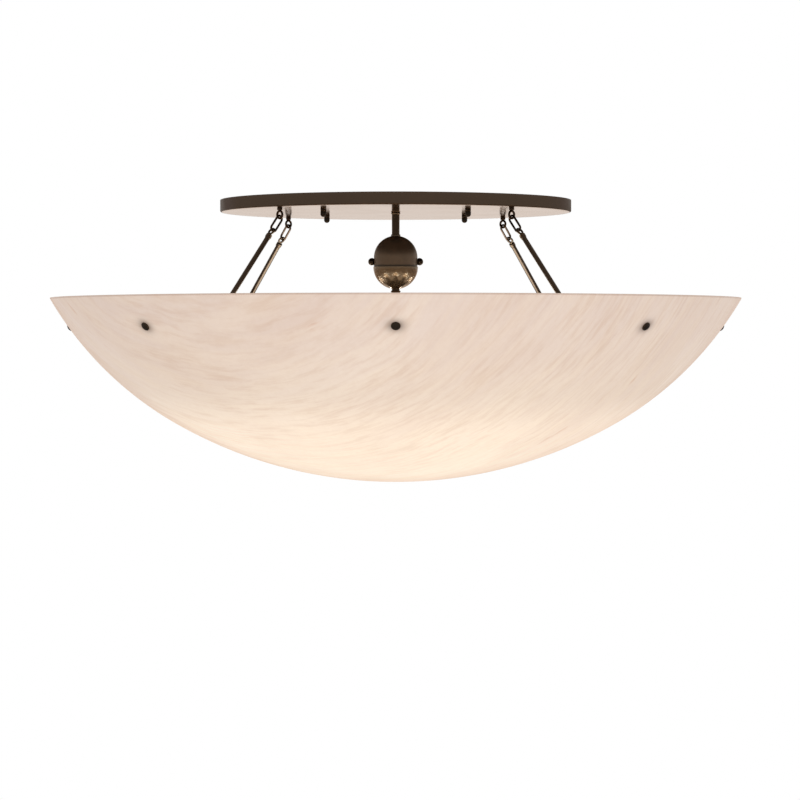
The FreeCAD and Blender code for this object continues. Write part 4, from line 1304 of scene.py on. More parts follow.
@dataclass
class CeilingPan:
    """The round pan, the bracket above it, and the studs and nuts between them."""

    finishes: FinishShelf
    sheet: float = 1.5 * MM
    bore: float = 5.5 * MM
    edge_radius: float = 2.0 * MM
    hem: float = 2.2 * MM
    hem_rounding: float = 0.45 * MM
    hem_fillet: float = 0.3 * MM
    hem_slope: float = 1.4
    stud_radius: float = 2.4 * MM
    stud_pitch: float = 1.06 * MM
    stud_thread: float = 0.42 * MM
    stud_point: float = 0.5 * MM
    lock_nut_flats: float = 8.0 * MM
    cap_bore_play: float = 0.08 * MM
    cap_bore_depth: float = 6.75 * MM
    cap_groove: float = 0.35 * MM
    cap_fillet: float = 0.12 * MM
    cap_mouth_fillet: float = 0.3 * MM
    earth_shank: float = 2.0 * MM
    earth_head_below: float = 3.0 * MM
    earth_chamfer: float = 0.3 * MM
    earth_slot_half: float = 0.45 * MM
    earth_slot_depth: float = 0.8 * MM
    earth_slot_from: float = 0.2 * MM

    def build(self) -> None:
        """Makes and dresses every piece of the pan."""
        self.dish()
        self.studs()
        self.lock_nuts()
        self.cap_nuts()
        self.earth_screw()
        dress_node("ceiling_bracket", self.finishes.zinc)

    def dish(self) -> None:
        """The pan: a dish with a rounded lower edge and a hemmed upper one, polished underneath only."""
        low, high = node_box("ceiling_pan")
        radius, bottom, top, sheet = high[0], low[2], high[2], self.sheet
        corners = [
            (self.bore, bottom, 0.0),
            (radius, bottom, self.edge_radius),
            (radius, top, self.hem_rounding),
            (radius - self.hem, top, self.hem_rounding),
            (radius - self.hem, top - self.hem, self.hem_fillet),
            (radius - sheet, top - self.hem * self.hem_slope, self.hem_fillet),
            (radius - sheet, bottom + sheet, self.edge_radius - sheet),
            (self.bore, bottom + sheet, 0.0),
        ]
        outline = finer(rounded(corners, closed=True, steps=6), 12 * MM, closed=True)
        surface = lathe(outline, 256)
        pan = add_piece("pan_dish", surface, self.finishes.pan, "ceiling_pan")
        middles = surface.points[surface.quads].mean(axis=1)
        on_edge = np.hypot(middles[:, 0], middles[:, 1]) > radius - self.edge_radius
        inside = middles[:, 2] > bottom + sheet / 2
        pan.data.materials.append(self.finishes.pan_edge)
        pan.data.polygons.foreach_set("material_index", (on_edge | inside).astype(np.int32))

    def stud_reach(self) -> float:
        """Distance of the studs from the axis: they stand on the diagonals of a square."""
        return (node_box("bracket_studs")[1][0] - self.stud_radius) * math.sqrt(2)

    def studs(self) -> None:
        """Four threaded studs with pointed ends."""
        low, high = node_box("bracket_studs")
        radius, bottom, top, tip = self.stud_radius, low[2], high[2], self.stud_point
        blank = np.array([(0.0, bottom), (radius - tip, bottom), (radius, bottom + tip),
                          (radius, top - tip), (radius - tip, top), (0.0, top)])
        thread = threaded(radius, self.stud_pitch, self.stud_thread, bottom + tip, top - tip)
        stud = lathe(finer(blank, self.stud_pitch / 8), 24, thread)
        ring = at_corners(stud, self.stud_reach())
        add_piece("threaded_studs", ring, self.finishes.zinc, "bracket_studs")

    def lock_nuts(self) -> None:
        """The four nuts against the bracket."""
        low, high = node_box("stud_lock_nuts")
        single = nut(self.lock_nut_flats, self.stud_radius + BORE_PLAY, low[2], high[2])
        ring = at_corners(single, self.stud_reach())
        add_piece("lock_nuts", ring, self.finishes.zinc, "stud_lock_nuts")

    def cap_nuts(self) -> None:
        """Bullet-shaped nuts with a waist line under the pan."""
        for corner in Corner:
            node = "cap_nut_" + corner.label
            low, high = node_box(node)
            centre = (low + high) / 2
            radius, bottom, top = (high[0] - low[0]) / 2, low[2], high[2]
            straight = bottom + radius
            bore, bore_end = self.stud_radius + self.cap_bore_play, top - self.cap_bore_depth
            waist = [top - below * MM for below in (2.6, 2.3, 1.9, 1.6)]
            side = [(radius, straight, 0.0), *groove(radius, self.cap_groove, waist, self.cap_fillet),
                    (radius, top, self.cap_mouth_fillet), (bore, top, 0.0)]
            outline = np.vstack((
                arc((0.0, straight), radius, -90, 0, 14),
                rounded(side, closed=False, steps=3)[1:],
                np.array([(bore, bore_end), (0.0, bore_end)]),
            ))
            piece = lathe(outline, 40).moved(move_to(centre[0], centre[1], 0.0))
            add_piece("bullet_nut_" + corner.label, piece, self.finishes.fastener, node)

    def earth_screw(self) -> None:
        """The green earthing screw with a slotted dome, shown by a sunk slot."""
        low, high = node_box("ground_screw")
        centre = (low + high) / 2
        head, shank, chamfer = (high[0] - low[0]) / 2, self.earth_shank, self.earth_chamfer
        top, head_top, bottom = high[2], -self.earth_head_below, low[2]
        sphere, half = cap_sphere(head, head_top - bottom)
        outline = np.vstack((
            arc((0.0, bottom + sphere), sphere, -90, -90 + half, 10),
            np.array([(head, head_top), (shank, head_top), (shank, top - chamfer),
                      (shank - chamfer, top), (0.0, top)]),
        ))
        screw = lathe(finer(outline, 0.3 * MM), 48)
        across, height = np.abs(screw.points[:, 1]), screw.points[:, 2]
        in_slot = (across < self.earth_slot_half) & (height < head_top - self.earth_slot_from)
        screw.points[in_slot, 2] += self.earth_slot_depth
        placed = screw.moved(move_to(centre[0], centre[1], 0.0))
        add_piece("earth_screw", placed, self.finishes.earth, "ground_screw")


@dataclass
class StemAndBall:
    """The pipe from the pan, its collar, the two-part ball and what is inside it."""

    finishes: FinishShelf
    pipe_radius: float = 5.15 * MM
    bore_radius: float = 3.6 * MM
    pipe_pitch: float = 0.94 * MM
    shell: float = 1.2 * MM
    upper_centre: float = -75.8 * MM
    upper_radius: float = 28.95 * MM
    lower_centre: float = -88.0 * MM
    lower_radius: float = 29.8 * MM
    ball_neck_radius: float = 6.3 * MM
    ball_neck_fillet: float = 0.5 * MM
    lip_play: float = 0.1 * MM
    lip_step: float = 2.45 * MM
    screw_height: float = -81.4 * MM
    knob_radius: float = 5.0 * MM
    knob_shank: float = 2.0 * MM
    knob_collar: float = 3.4 * MM
    knob_waist: float = 3.6 * MM
    knob_gap: float = 0.25 * MM
    knob_step: float = 0.3 * MM
    pipe_chamfer: float = 0.4 * MM
    pipe_thread: float = 0.34 * MM
    pipe_lower_thread: float = 44.0 * MM
    pipe_nut_flats: float = 14.0 * MM
    pipe_nut_height: float = 4.0 * MM

    def build(self) -> None:
        """Makes and dresses every piece on the stem."""
        self.pipe()
        self.collar()
        self.upper_half()
        self.lower_half()
        self.knobs()
        self.pipe_nuts("stem_lock_nuts", "stem_nuts")
        self.pipe_nuts("ball_strap_nuts", "strap_nuts")
        dress_node("ball_strap", self.finishes.zinc)

    def pipe(self) -> None:
        """The pipe, threaded at both ends, with a bore."""
        low, high = node_box("stem_pipe")
        pan_low, _ = node_box("ceiling_pan")
        radius, bore, bottom, top = self.pipe_radius, self.bore_radius, low[2], high[2]
        chamfer, depth = self.pipe_chamfer, self.pipe_thread
        blank = np.array([(bore, bottom), (radius - chamfer, bottom), (radius, bottom + chamfer),
                          (radius, top - chamfer), (radius - chamfer, top), (bore, top)])
        upper = threaded(radius, self.pipe_pitch, depth, pan_low[2] + 0.3 * MM, top - chamfer)
        lower = threaded(radius, self.pipe_pitch, depth, bottom + chamfer, bottom + self.pipe_lower_thread)

        def both(r: Array, z: Array, a: Array) -> Array:
            """Both threads on one pipe."""
            return np.minimum(upper(r, z, a), lower(r, z, a))

        outline = finer(blank, self.pipe_pitch / 6, closed=True)
        add_piece("threaded_pipe", lathe(outline, 40, both), self.finishes.stem, "stem_pipe")

    def collar(self) -> None:
        """A turned ring with a round bead, right under the pan."""
        low, high = node_box("stem_collar")
        radius, bottom, top = high[0], low[2], high[2]
        bore, middle = self.pipe_radius + BORE_PLAY, (low[2] + high[2]) / 2
        bead = (top - bottom) / 2
        outline = np.vstack((
            np.array([(bore, bottom)]),
            arc((radius - bead, middle), bead, -90, 90, 14),
            np.array([(bore, top)]),
        ))
        # Painted light: the collar takes the ball's lighter bronze instead of the stem's own, for its
        # brighter look.
        add_piece("stem_bead", lathe(outline, 64), self.finishes.ball_lower, "stem_collar")

    def upper_half(self) -> None:
        """The upper half: a dome with a short neck, a straight skirt and a thin bead at the seam."""
        low, high = node_box("ball_upper_shell")
        radius, shell, centre = self.upper_radius, self.shell, self.upper_centre
        bore = self.pipe_radius + BORE_PLAY
        neck = self.ball_neck_radius
        skirt_end, top = low[2], high[2]
        neck_angle = math.degrees(math.acos(neck / radius))
        bore_angle = math.degrees(math.acos(bore / (radius - shell)))
        outline = np.vstack((
            np.array([(radius - shell, skirt_end), (radius, skirt_end)]),
            arc((0.0, centre), radius, 0, neck_angle, 40),
            rounded([(neck, centre + radius * math.sin(math.radians(neck_angle)), 0.0),
                     (neck, top, self.ball_neck_fillet), (bore, top, 0.0)], closed=False)[1:],
            arc((0.0, centre), radius - shell, bore_angle, 0, 24),
        ))
        add_piece("ball_dome", lathe(finer(outline, 1.5 * MM, closed=True), 128), self.finishes.ball_upper,
                  "ball_upper_shell")

    def lower_half(self) -> None:
        """The lower half: a bowl with a rolled lip that takes the upper half's skirt."""
        radius, shell, centre = self.lower_radius, self.shell, self.lower_centre
        bore = self.pipe_radius + BORE_PLAY
        rebate = self.upper_radius + self.lip_play
        outer_angle = math.degrees(math.acos(bore / radius))
        inner_angle = math.degrees(math.acos(bore / (radius - shell)))
        step_angle = math.degrees(math.asin(self.lip_step / (radius - shell)))
        lip = (radius - rebate) / 2
        outline = np.vstack((
            arc((0.0, centre), radius, -outer_angle, -2.0, 40),
            arc(((radius + rebate) / 2, centre - lip), lip, 10, 170, 8),
            np.array([(rebate, centre - self.lip_step)]),
            arc((0.0, centre), radius - shell, -step_angle, -inner_angle, 24),
        ))
        add_piece("ball_cup", lathe(finer(outline, 1.5 * MM, closed=True), 128), self.finishes.ball_lower,
                  "ball_lower_shell")

    def knobs(self) -> None:
        """The two screws with ball knobs, each with a small collar against the ball."""
        for side, label in ((-1, "left"), (1, "right")):
            node = "ball_screw_" + label
            low, high = node_box(node)
            reach = max(abs(low[0]), abs(high[0]))
            inner_end = min(abs(low[0]), abs(high[0]))
            radius, shank, step = self.knob_radius, self.knob_shank, self.knob_step
            centre = reach - radius
            seat = self.upper_radius + self.knob_gap
            seat_angle = -math.degrees(math.acos(self.knob_waist / radius))
            seat_point = centre + radius * math.sin(math.radians(seat_angle))
            blank = np.vstack((
                np.array([(0.0, inner_end), (shank - step, inner_end), (shank, inner_end + step),
                          (shank, seat), (self.knob_collar, seat),
                          (self.knob_waist, min(seat_point, seat + step))]),
                arc((0.0, centre), radius, seat_angle, 90, 28)[1:],
            ))
            blank[-1, 0] = 0.0
            thread = threaded(shank, 0.7 * MM, 0.3 * MM, inner_end + step, seat - 0.4 * MM)
            outline = np.vstack((finer(blank[:4], 0.12 * MM), blank[4:]))
            screw = lathe(outline, 48, thread)
            place = move_to(0, 0, self.screw_height) @ turn_y(90 * side)
            add_piece("knob_" + label, screw.moved(place), self.finishes.knob, node)

    def pipe_nuts(self, node: str, name: str) -> None:
        """Two hexagon nuts on the pipe, at the lowest and the highest place of a node.

        Args:
            node: the node that they replace.
            name: the piece's name.
        """
        low, high = node_box(node)
        flats, height = self.pipe_nut_flats, self.pipe_nut_height
        bore = self.pipe_radius + BORE_PLAY
        pair = (nut(flats, bore, low[2], low[2] + height), nut(flats, bore, high[2] - height, high[2]))
        add_piece(name, together(pair), self.finishes.zinc, node)


@dataclass
class LampCluster:
    """The flared neck, the hub with its cover and finial, and six lamps."""

    finishes: FinishShelf
    lamp_count: int = 6
    tilt: float = 15.0
    axis_height: float = -163.0 * MM
    socket_start: float = 41.0 * MM
    socket_length: float = 45.0 * MM
    socket_radius: float = 17.5 * MM
    base_radius: float = 13.2 * MM
    base_length: float = 25.0 * MM
    screw_pitch: float = 3.63 * MM
    glass_radius: float = 30.0 * MM
    glass_length: float = 81.0 * MM
    glass_neck: float = 13.0 * MM
    glass_straight: float = 6.0 * MM
    glass_shoulder: float = -35.0
    pipe_bore: float = 5.2 * MM
    neck_top: float = 5.9 * MM
    neck_edge: float = 1.5 * MM
    neck_bead: float = 2.4 * MM
    neck_flare: float = 2.6
    hub_wall: float = 2.0 * MM
    finial_crown: float = 4.5 * MM
    finial_bore: float = 6.0 * MM
    ridge_count: int = 48
    ridge_depth: float = 0.25 * MM
    nipple_radius: float = 5.0 * MM
    nipple_length: float = 10.0 * MM
    socket_bore_play: float = 0.12 * MM
    socket_seat: float = 2.25 * MM
    socket_groove: float = 0.6 * MM
    socket_fillet: float = 0.3 * MM
    contact_radius: float = 4.5 * MM
    contact_height: float = 2.0 * MM
    thread_depth: float = 0.8 * MM
    thread_run_out: float = 2.0 * MM

    def build(self) -> None:
        """Makes and dresses every piece of the cluster."""
        self.neck()
        self.hub()
        self.cover()
        self.finial()
        for number in range(1, self.lamp_count + 1):
            self.socket(number)
            self.base(number)
            self.glass(number)

    @classmethod
    def lamp_place(cls, number: int) -> Array:
        """The matrix that lays a lamp's axis from +Z onto its own line."""
        azimuth = (number - 0.5) * 360.0 / cls.lamp_count
        return move_to(0, 0, cls.axis_height) @ turn_z(azimuth) @ turn_y(cls.tilt + 90.0)

    @classmethod
    def glint_places(cls) -> list[Array]:
        """The middle of each bulb's globe."""
        along = cls.socket_start + cls.socket_length + cls.glass_length - cls.glass_radius
        return [(cls.lamp_place(number) @ (0, 0, along, 1))[:3] for number in range(1, cls.lamp_count + 1)]

    def neck(self) -> None:
        """A trumpet, r = top + (foot - top) s^flare at a share s of the way down, with a bead at each end."""
        low, high = node_box("flared_neck")
        foot_radius, bottom, top = high[0], low[2], high[2]
        edge, top_radius, side_top = self.neck_edge, self.neck_top, top - self.neck_bead
        down = np.linspace(0.0, 1.0, 26)
        flare = top_radius + (foot_radius - edge / 2 - top_radius) * down ** self.neck_flare
        side = np.stack((flare, side_top - (side_top - bottom - edge) * down), axis=-1)[::-1]
        outline = np.vstack((
            np.array([(self.pipe_bore, bottom)]),
            arc((foot_radius - edge / 2, bottom + edge / 2), edge / 2, -90, 90, 10),
            side[1:],
            arc((top_radius - 0.2 * MM, top - 1.2 * MM), 0.9 * MM, -80, 80, 8),
            np.array([(top_radius - 0.3 * MM, top), (self.pipe_bore, top)]),
        ))
        add_piece("trumpet_neck", lathe(outline, 96), self.finishes.stem, "flared_neck")

    def hub(self) -> None:
        """The enamelled cup that carries the sockets, open below."""
        low, high = node_box("lamp_hub")
        radius, bottom, top, wall = high[0], low[2], high[2], self.hub_wall
        corners = [
            (self.pipe_bore, top - wall, 0.0), (radius - wall, top - wall, 6.0 * MM),
            (radius - wall, bottom, 0.4 * MM), (radius, bottom, 0.4 * MM),
            (radius, top, 8.0 * MM), (self.pipe_bore, top, 0.0),
        ]
        outline = finer(rounded(corners, closed=True, steps=10), 4 * MM, closed=True)
        add_piece("hub_cup", lathe(outline, 96), self.finishes.hub, "lamp_hub")

    def cover(self) -> None:
        """The dished cover: two shallow sphere caps with a rounded rim."""
        low, high = node_box("hub_cover")
        radius, top, bottom, sheet = high[0], high[2], low[2], self.hub_wall
        sphere, _ = cap_sphere(radius, top - bottom - sheet)
        rim = math.degrees(math.asin((radius - sheet / 2) / sphere))
        hole = math.degrees(math.asin(self.pipe_bore / sphere))
        outline = np.vstack((
            arc((0.0, bottom + sphere), sphere, -90 + hole, -90 + rim, 20),
            arc((radius - sheet / 2, top - sheet / 2), sheet / 2, -70, 90, 8),
            arc((0.0, bottom + sphere + sheet), sphere, -90 + rim, -90 + hole, 20)[1:],
        ))
        add_piece("hub_lid", lathe(outline, 96), self.finishes.hub, "hub_cover")

    def finial(self) -> None:
        """The knurled nut with a domed end below the hub."""
        low, high = node_box("hub_finial")
        radius, bottom, top = high[0], low[2], high[2]
        crown, bore, bore_end = self.finial_crown, self.pipe_bore, top - self.finial_bore
        sphere, half = cap_sphere(radius, crown)
        side = [(radius, bottom + crown, 0.0), (radius, top, 0.6 * MM), (bore, top, 0.0)]
        outline = np.vstack((
            arc((0.0, bottom + sphere), sphere, -90, -90 + half, 12),
            rounded(side, closed=False)[1:],
            np.array([(bore, bore_end), (0.0, bore_end)]),
        ))

        def knurled(r: Array, z: Array, a: Array) -> Array:
            """Small ridges round the straight part: r' = r - d (1 - cos na) / 2 where r is full."""
            ridge = self.ridge_depth * (1 - np.cos(self.ridge_count * a)) / 2
            straight = (r > radius - TINY) & (z > bottom + crown + 0.4 * MM)
            return np.where(straight, r - ridge, r)

        knob = lathe(finer(outline, 0.7 * MM), 192, knurled)
        add_piece("finial_nut", knob, self.finishes.stem, "hub_finial")

    def socket(self, number: int) -> None:
        """A ceramic lamp holder: shoulder, two shallow grooves, a rounded mouth and a threaded bore.

        Args:
            number: the lamp's number, from 1.
        """
        start, radius = self.socket_start, self.socket_radius
        mouth = start + self.socket_length
        bore = self.base_radius + self.socket_bore_play
        floor = mouth - self.base_length - self.socket_seat
        nipple, nipple_end, fillet = self.nipple_radius, start - self.nipple_length, self.socket_fillet
        lower_groove = [start + along * MM for along in (11.0, 11.8, 12.6, 13.4)]
        upper_groove = [mouth - along * MM for along in (7.4, 6.6, 5.8, 5.0)]
        corners = [
            (0.0, nipple_end, 0.0), (nipple, nipple_end, fillet), (nipple, start, 0.0),
            (radius * 0.7, start, 1.2 * MM), (radius, start + 6 * MM, 1.6 * MM),
            *groove(radius, self.socket_groove, lower_groove, fillet),
            *groove(radius, self.socket_groove, upper_groove, fillet),
            (radius, mouth, 1.6 * MM), (bore, mouth, 0.8 * MM), (bore, floor, fillet), (0.0, floor, 0.0),
        ]
        outline = finer(rounded(corners, closed=False, steps=4), 2.5 * MM)
        piece = lathe(outline, 64).moved(self.lamp_place(number))
        add_piece(f"holder_{number}", piece, self.finishes.ceramic, f"lamp_socket_{number}")

    def base(self, number: int) -> None:
        """The bulb's screw base: a rolled round thread r' = r - d (1 - cos(2 pi z / pitch - a)) / 2.

        Args:
            number: the lamp's number, from 1.
        """
        mouth = self.socket_start + self.socket_length
        start, radius, contact = mouth - self.base_length, self.base_radius, self.contact_height
        corners = [
            (0.0, start - contact, 0.0), (self.contact_radius, start - contact, 0.8 * MM),
            (radius * 0.6, start, 0.4 * MM),
            (radius, start + 2 * contact, 0.8 * MM), (radius, mouth, 0.0), (0.0, mouth, 0.0),
        ]

        def rolled(r: Array, z: Array, a: Array) -> Array:
            """The round thread on the straight part."""
            inwards = np.minimum(z - start - 2 * contact, mouth - self.thread_run_out - z)
            fade = np.clip(inwards / self.screw_pitch, 0, 1)
            wave = (1 - np.cos(TURN * z / self.screw_pitch - a)) / 2
            return np.where(r > radius - TINY, r - self.thread_depth * fade * wave, r)

        outline = finer(rounded(corners, closed=False, steps=4), 0.45 * MM)
        piece = lathe(outline, 48, rolled).moved(self.lamp_place(number))
        node = f"bulb_base_{number}"
        add_piece(f"screw_base_{number}", piece, self.finishes.bulb_metal, node)

    def glass(self, number: int) -> None:
        """The pear-shaped glass: a neck, a soft S to the shoulder, and a sphere.

        Args:
            number: the lamp's number, from 1.
        """
        mouth = self.socket_start + self.socket_length
        radius, neck = self.glass_radius, self.glass_neck
        globe, curve_start = mouth + self.glass_length - radius, mouth + self.glass_straight
        shoulder = arc((0.0, globe), radius, self.glass_shoulder, 90, 40)
        share = np.linspace(0.0, 1.0, 18)
        run = shoulder[0] - np.array((neck, curve_start))
        swell = 0.72 * share ** 1.7 + 0.28 * share
        curve = np.stack((neck + run[0] * swell, curve_start + run[1] * share), axis=-1)
        foot = np.array([(0.0, mouth), (neck, mouth), (neck, mouth + self.glass_straight / 2)])
        outline = np.vstack((foot, curve[:-1], shoulder))
        outline[-1, 0] = 0.0
        piece = lathe(finer(outline, 3 * MM), 72).moved(self.lamp_place(number))
        node = f"bulb_glass_{number}"
        add_piece(f"bulb_{number}", piece, self.finishes.bulb_glass, node, sharp=60.0)


@dataclass
class Hanger:
    """One hanger: the pan eye, the chain link and the rod; the eye's nut and washer come from EyeFasteners.
    """

    finishes: FinishShelf
    corner: Corner
    eye_circle: float = 209.5 * MM
    eye_drop: float = 9.3 * MM
    eye_ring: float = 4.7 * MM
    eye_wire: float = 1.5 * MM
    shoulder_radius: float = 3.4 * MM
    shank_radius: float = 2.4 * MM
    shank_tip: float = 0.4 * MM
    shank_pitch: float = 0.9 * MM
    shank_thread: float = 0.36 * MM
    link_wire: float = 1.4 * MM
    link_half_width: float = 4.35 * MM
    link_length: float = 24.0 * MM
    rod_spread: float = 0.83
    rod_radius: float = 3.175 * MM
    rod_eye: float = 4.2 * MM
    rod_eye_wire: float = 1.4 * MM
    ferrule_radius: float = 4.0 * MM
    ferrule_length: float = 7.0 * MM
    ferrule_taper: float = 3.0 * MM
    ferrule_fillet: float = 0.8 * MM
    crimp_places: tuple[float, ...] = (1.6 * MM, 2.1 * MM, 2.6 * MM)
    crimp_depth: float = 0.3 * MM
    crimp_fillet: float = 0.2 * MM
    weld_reach: float = 0.9 * MM
    weld_rise: float = 0.10
    hook_ring: float = 5.5 * MM
    hook_wire: float = 1.6 * MM
    pivot_height: float = -196.0 * MM
    lug_hole: float = 4.5 * MM
    sway_play: float = 1.0 * MM
    seat_gap: float = 0.25 * MM
    link_play: float = 0.1 * MM

    def build(self) -> None:
        """Makes and dresses the eye, the link and the rod."""
        self.eye()
        self.link()
        self.rod()

    @property
    def pan_underside(self) -> float:
        """Height of the pan's underside."""
        return float(node_box("ceiling_pan")[0][2])

    @property
    def eye_pivot(self) -> float:
        """Height of the lowest point of the eye's wire centre line, where the link hangs."""
        return self.pan_underside - self.eye_drop - self.eye_ring

    def along_hanger(self) -> Array:
        """The matrix that lays a piece made along -Z from the origin onto the hanger's line."""
        lean = math.degrees(math.atan(self.rod_spread))
        return turn_z(self.corner.azimuth) @ move_to(self.eye_circle, 0, self.eye_pivot) @ turn_y(-lean)

    def eye(self) -> None:
        """Ring, collar and threaded shank of the pan eye."""
        centre = self.pan_underside - self.eye_drop
        node = "pan_eye_" + self.corner.label
        top = float(node_box(node)[1][2])
        ring = loop_tube(circle_path(self.eye_ring, centre, 56), (1, 0, 0), self.eye_wire, 20)
        wire_top = centre + self.eye_ring
        waist, tip = self.eye_wire * 0.8, self.shank_tip
        radius, shank, underside = self.shoulder_radius, self.shank_radius, self.pan_underside
        corners = [
            (0.0, wire_top, 0.0), (waist, wire_top, 0.0), (waist, wire_top + self.eye_wire * 0.5, 0.0),
            (radius, wire_top + self.eye_wire * 0.8, 0.7 * MM), (radius, underside, 0.3 * MM),
            (shank, underside, 0.0), (shank, top - tip, 0.0), (shank - tip, top, 0.0), (0.0, top, 0.0),
        ]
        outline = rounded(corners, closed=False, steps=4)
        thread = threaded(shank, self.shank_pitch, self.shank_thread, underside + 0.8 * MM, top - tip)
        stalk = lathe(finer(outline, 0.14 * MM), 32, thread)
        place = turn_z(self.corner.azimuth) @ move_to(self.eye_circle, 0, 0)
        add_piece("eye_" + self.corner.label, together((ring, stalk)).moved(place), self.finishes.chain,
                  node)

    def link(self) -> None:
        """A long link: two half circles and two straights, with a weld in one of the straights."""
        half, wire = self.link_half_width, self.link_wire
        straight = self.link_length - 2 * half
        top = self.eye_wire + wire + self.seat_gap - half
        bottom = top - straight
        bend, run = 28, 22
        turn = np.linspace(0, math.pi, bend, endpoint=False)
        walk = np.linspace(0, 1, run, endpoint=False)
        upper = np.stack((half * np.cos(turn), np.zeros(bend), top + half * np.sin(turn)), axis=-1)
        down = np.stack((np.full(run, -half), np.zeros(run), top - straight * walk), axis=-1)
        lower = np.stack((-half * np.cos(turn), np.zeros(bend), bottom - half * np.sin(turn)), axis=-1)
        rise = np.stack((np.full(run, half), np.zeros(run), bottom + straight * walk), axis=-1)
        path = np.vstack((upper, down, lower, rise))
        weld = np.exp(-((path[:, 2] - (top + bottom) / 2) / self.weld_reach) ** 2) * (path[:, 0] > 0)
        radius = wire * (1 + self.weld_rise * weld)
        skin = loop_tube(path, (0, -1, 0), radius, 20).moved(self.along_hanger())
        node = "chain_link_" + self.corner.label
        add_piece("long_link_" + self.corner.label, skin, self.finishes.chain, node)

    def ferrule(self, bar: float, neck: float, sleeve: float, end: float, side: int) -> Corners:
        """Corners of a ferrule with a crimp line, from its end towards the middle of the rod.

        Args:
            bar: radius of the bar.
            neck: radius of the neck at the end.
            sleeve: radius of the ferrule.
            end: height of the ferrule's end.
            side: 1 if the rod goes up from there, -1 if it goes down.

        Returns:
            Radius, height and fillet of each corner.
        """
        full = end + side * (self.ferrule_length - self.ferrule_taper)
        crimp = [end + side * along for along in self.crimp_places]
        return [
            (neck, end, 0.0), (sleeve, end, 0.7 * MM),
            *groove(sleeve, self.crimp_depth, crimp, self.crimp_fillet),
            (sleeve, full, self.ferrule_fillet), (bar, end + side * self.ferrule_length, self.ferrule_fillet),
        ]

    def rod(self) -> None:
        """The rod: two rings, two ferrules with a crimp line, and the bar between them."""
        lean_cosine = math.cos(math.atan(self.rod_spread))
        pivot = (self.eye_pivot - self.pivot_height) / lean_cosine
        link_bottom = self.link_length - (self.eye_wire + self.link_wire + self.seat_gap)
        upper_ring = -(link_bottom - self.link_wire - self.rod_eye_wire - self.link_play + self.rod_eye)
        upper_top = upper_ring - self.rod_eye - self.rod_eye_wire
        lower_ring = -(pivot - (self.lug_hole - self.hook_wire - self.sway_play)) + self.hook_ring
        lower_bottom = lower_ring + self.hook_ring + self.hook_wire
        neck, bar, sleeve = self.rod_radius * 0.6, self.rod_radius, self.ferrule_radius
        lower_half = self.ferrule(bar, neck, sleeve, lower_bottom, 1)
        upper_half = self.ferrule(bar, neck, sleeve, upper_top, -1)
        ends = (lower_bottom - self.hook_wire, upper_top + self.rod_eye_wire)
        corners = [
            (0.0, ends[0], 0.0), (neck, ends[0], 0.0), *lower_half,
            *upper_half[::-1], (neck, ends[1], 0.0), (0.0, ends[1], 0.0),
        ]
        bar_skin = lathe(finer(rounded(corners, closed=False, steps=4), 6 * MM), 40)
        rings = (
            loop_tube(circle_path(self.rod_eye, upper_ring, 52), (1, 0, 0), self.rod_eye_wire, 20),
            loop_tube(circle_path(self.hook_ring, lower_ring, 60), (1, 0, 0), self.hook_wire, 20),
        )
        skin = together((bar_skin, *rings)).moved(self.along_hanger())
        node = "rod_" + self.corner.label
        add_piece("hanging_rod_" + self.corner.label, skin, self.finishes.rod, node)


@dataclass
class EyeFasteners:
    """The nuts and washers of the four eyes, on the pan's floor."""

    finishes: FinishShelf
    circle: float = Hanger.eye_circle
    bore: float = Hanger.shank_radius + BORE_PLAY
    flats: float = 9.0 * MM
    washer_radius: float = 6.5 * MM

    def build(self) -> None:
        """Makes and dresses both sets."""
        low, high = node_box("eye_nuts")
        single = nut(self.flats, self.bore, low[2], high[2])
        self.ring("eye_nut_set", single, "eye_nuts")
        low, high = node_box("eye_washers")
        corners = [(self.bore, low[2], 0.2 * MM), (self.washer_radius, low[2], 0.3 * MM),
                   (self.washer_radius, high[2], 0.3 * MM), (self.bore, high[2], 0.2 * MM)]
        washer = lathe(rounded(corners, closed=True, steps=3), 48)
        self.ring("eye_washer_set", washer, "eye_washers")

    def ring(self, name: str, single: Surface, node: str) -> None:
        """One copy at each corner, as one piece."""
        add_piece(name, at_corners(single, self.circle), self.finishes.zinc, node)


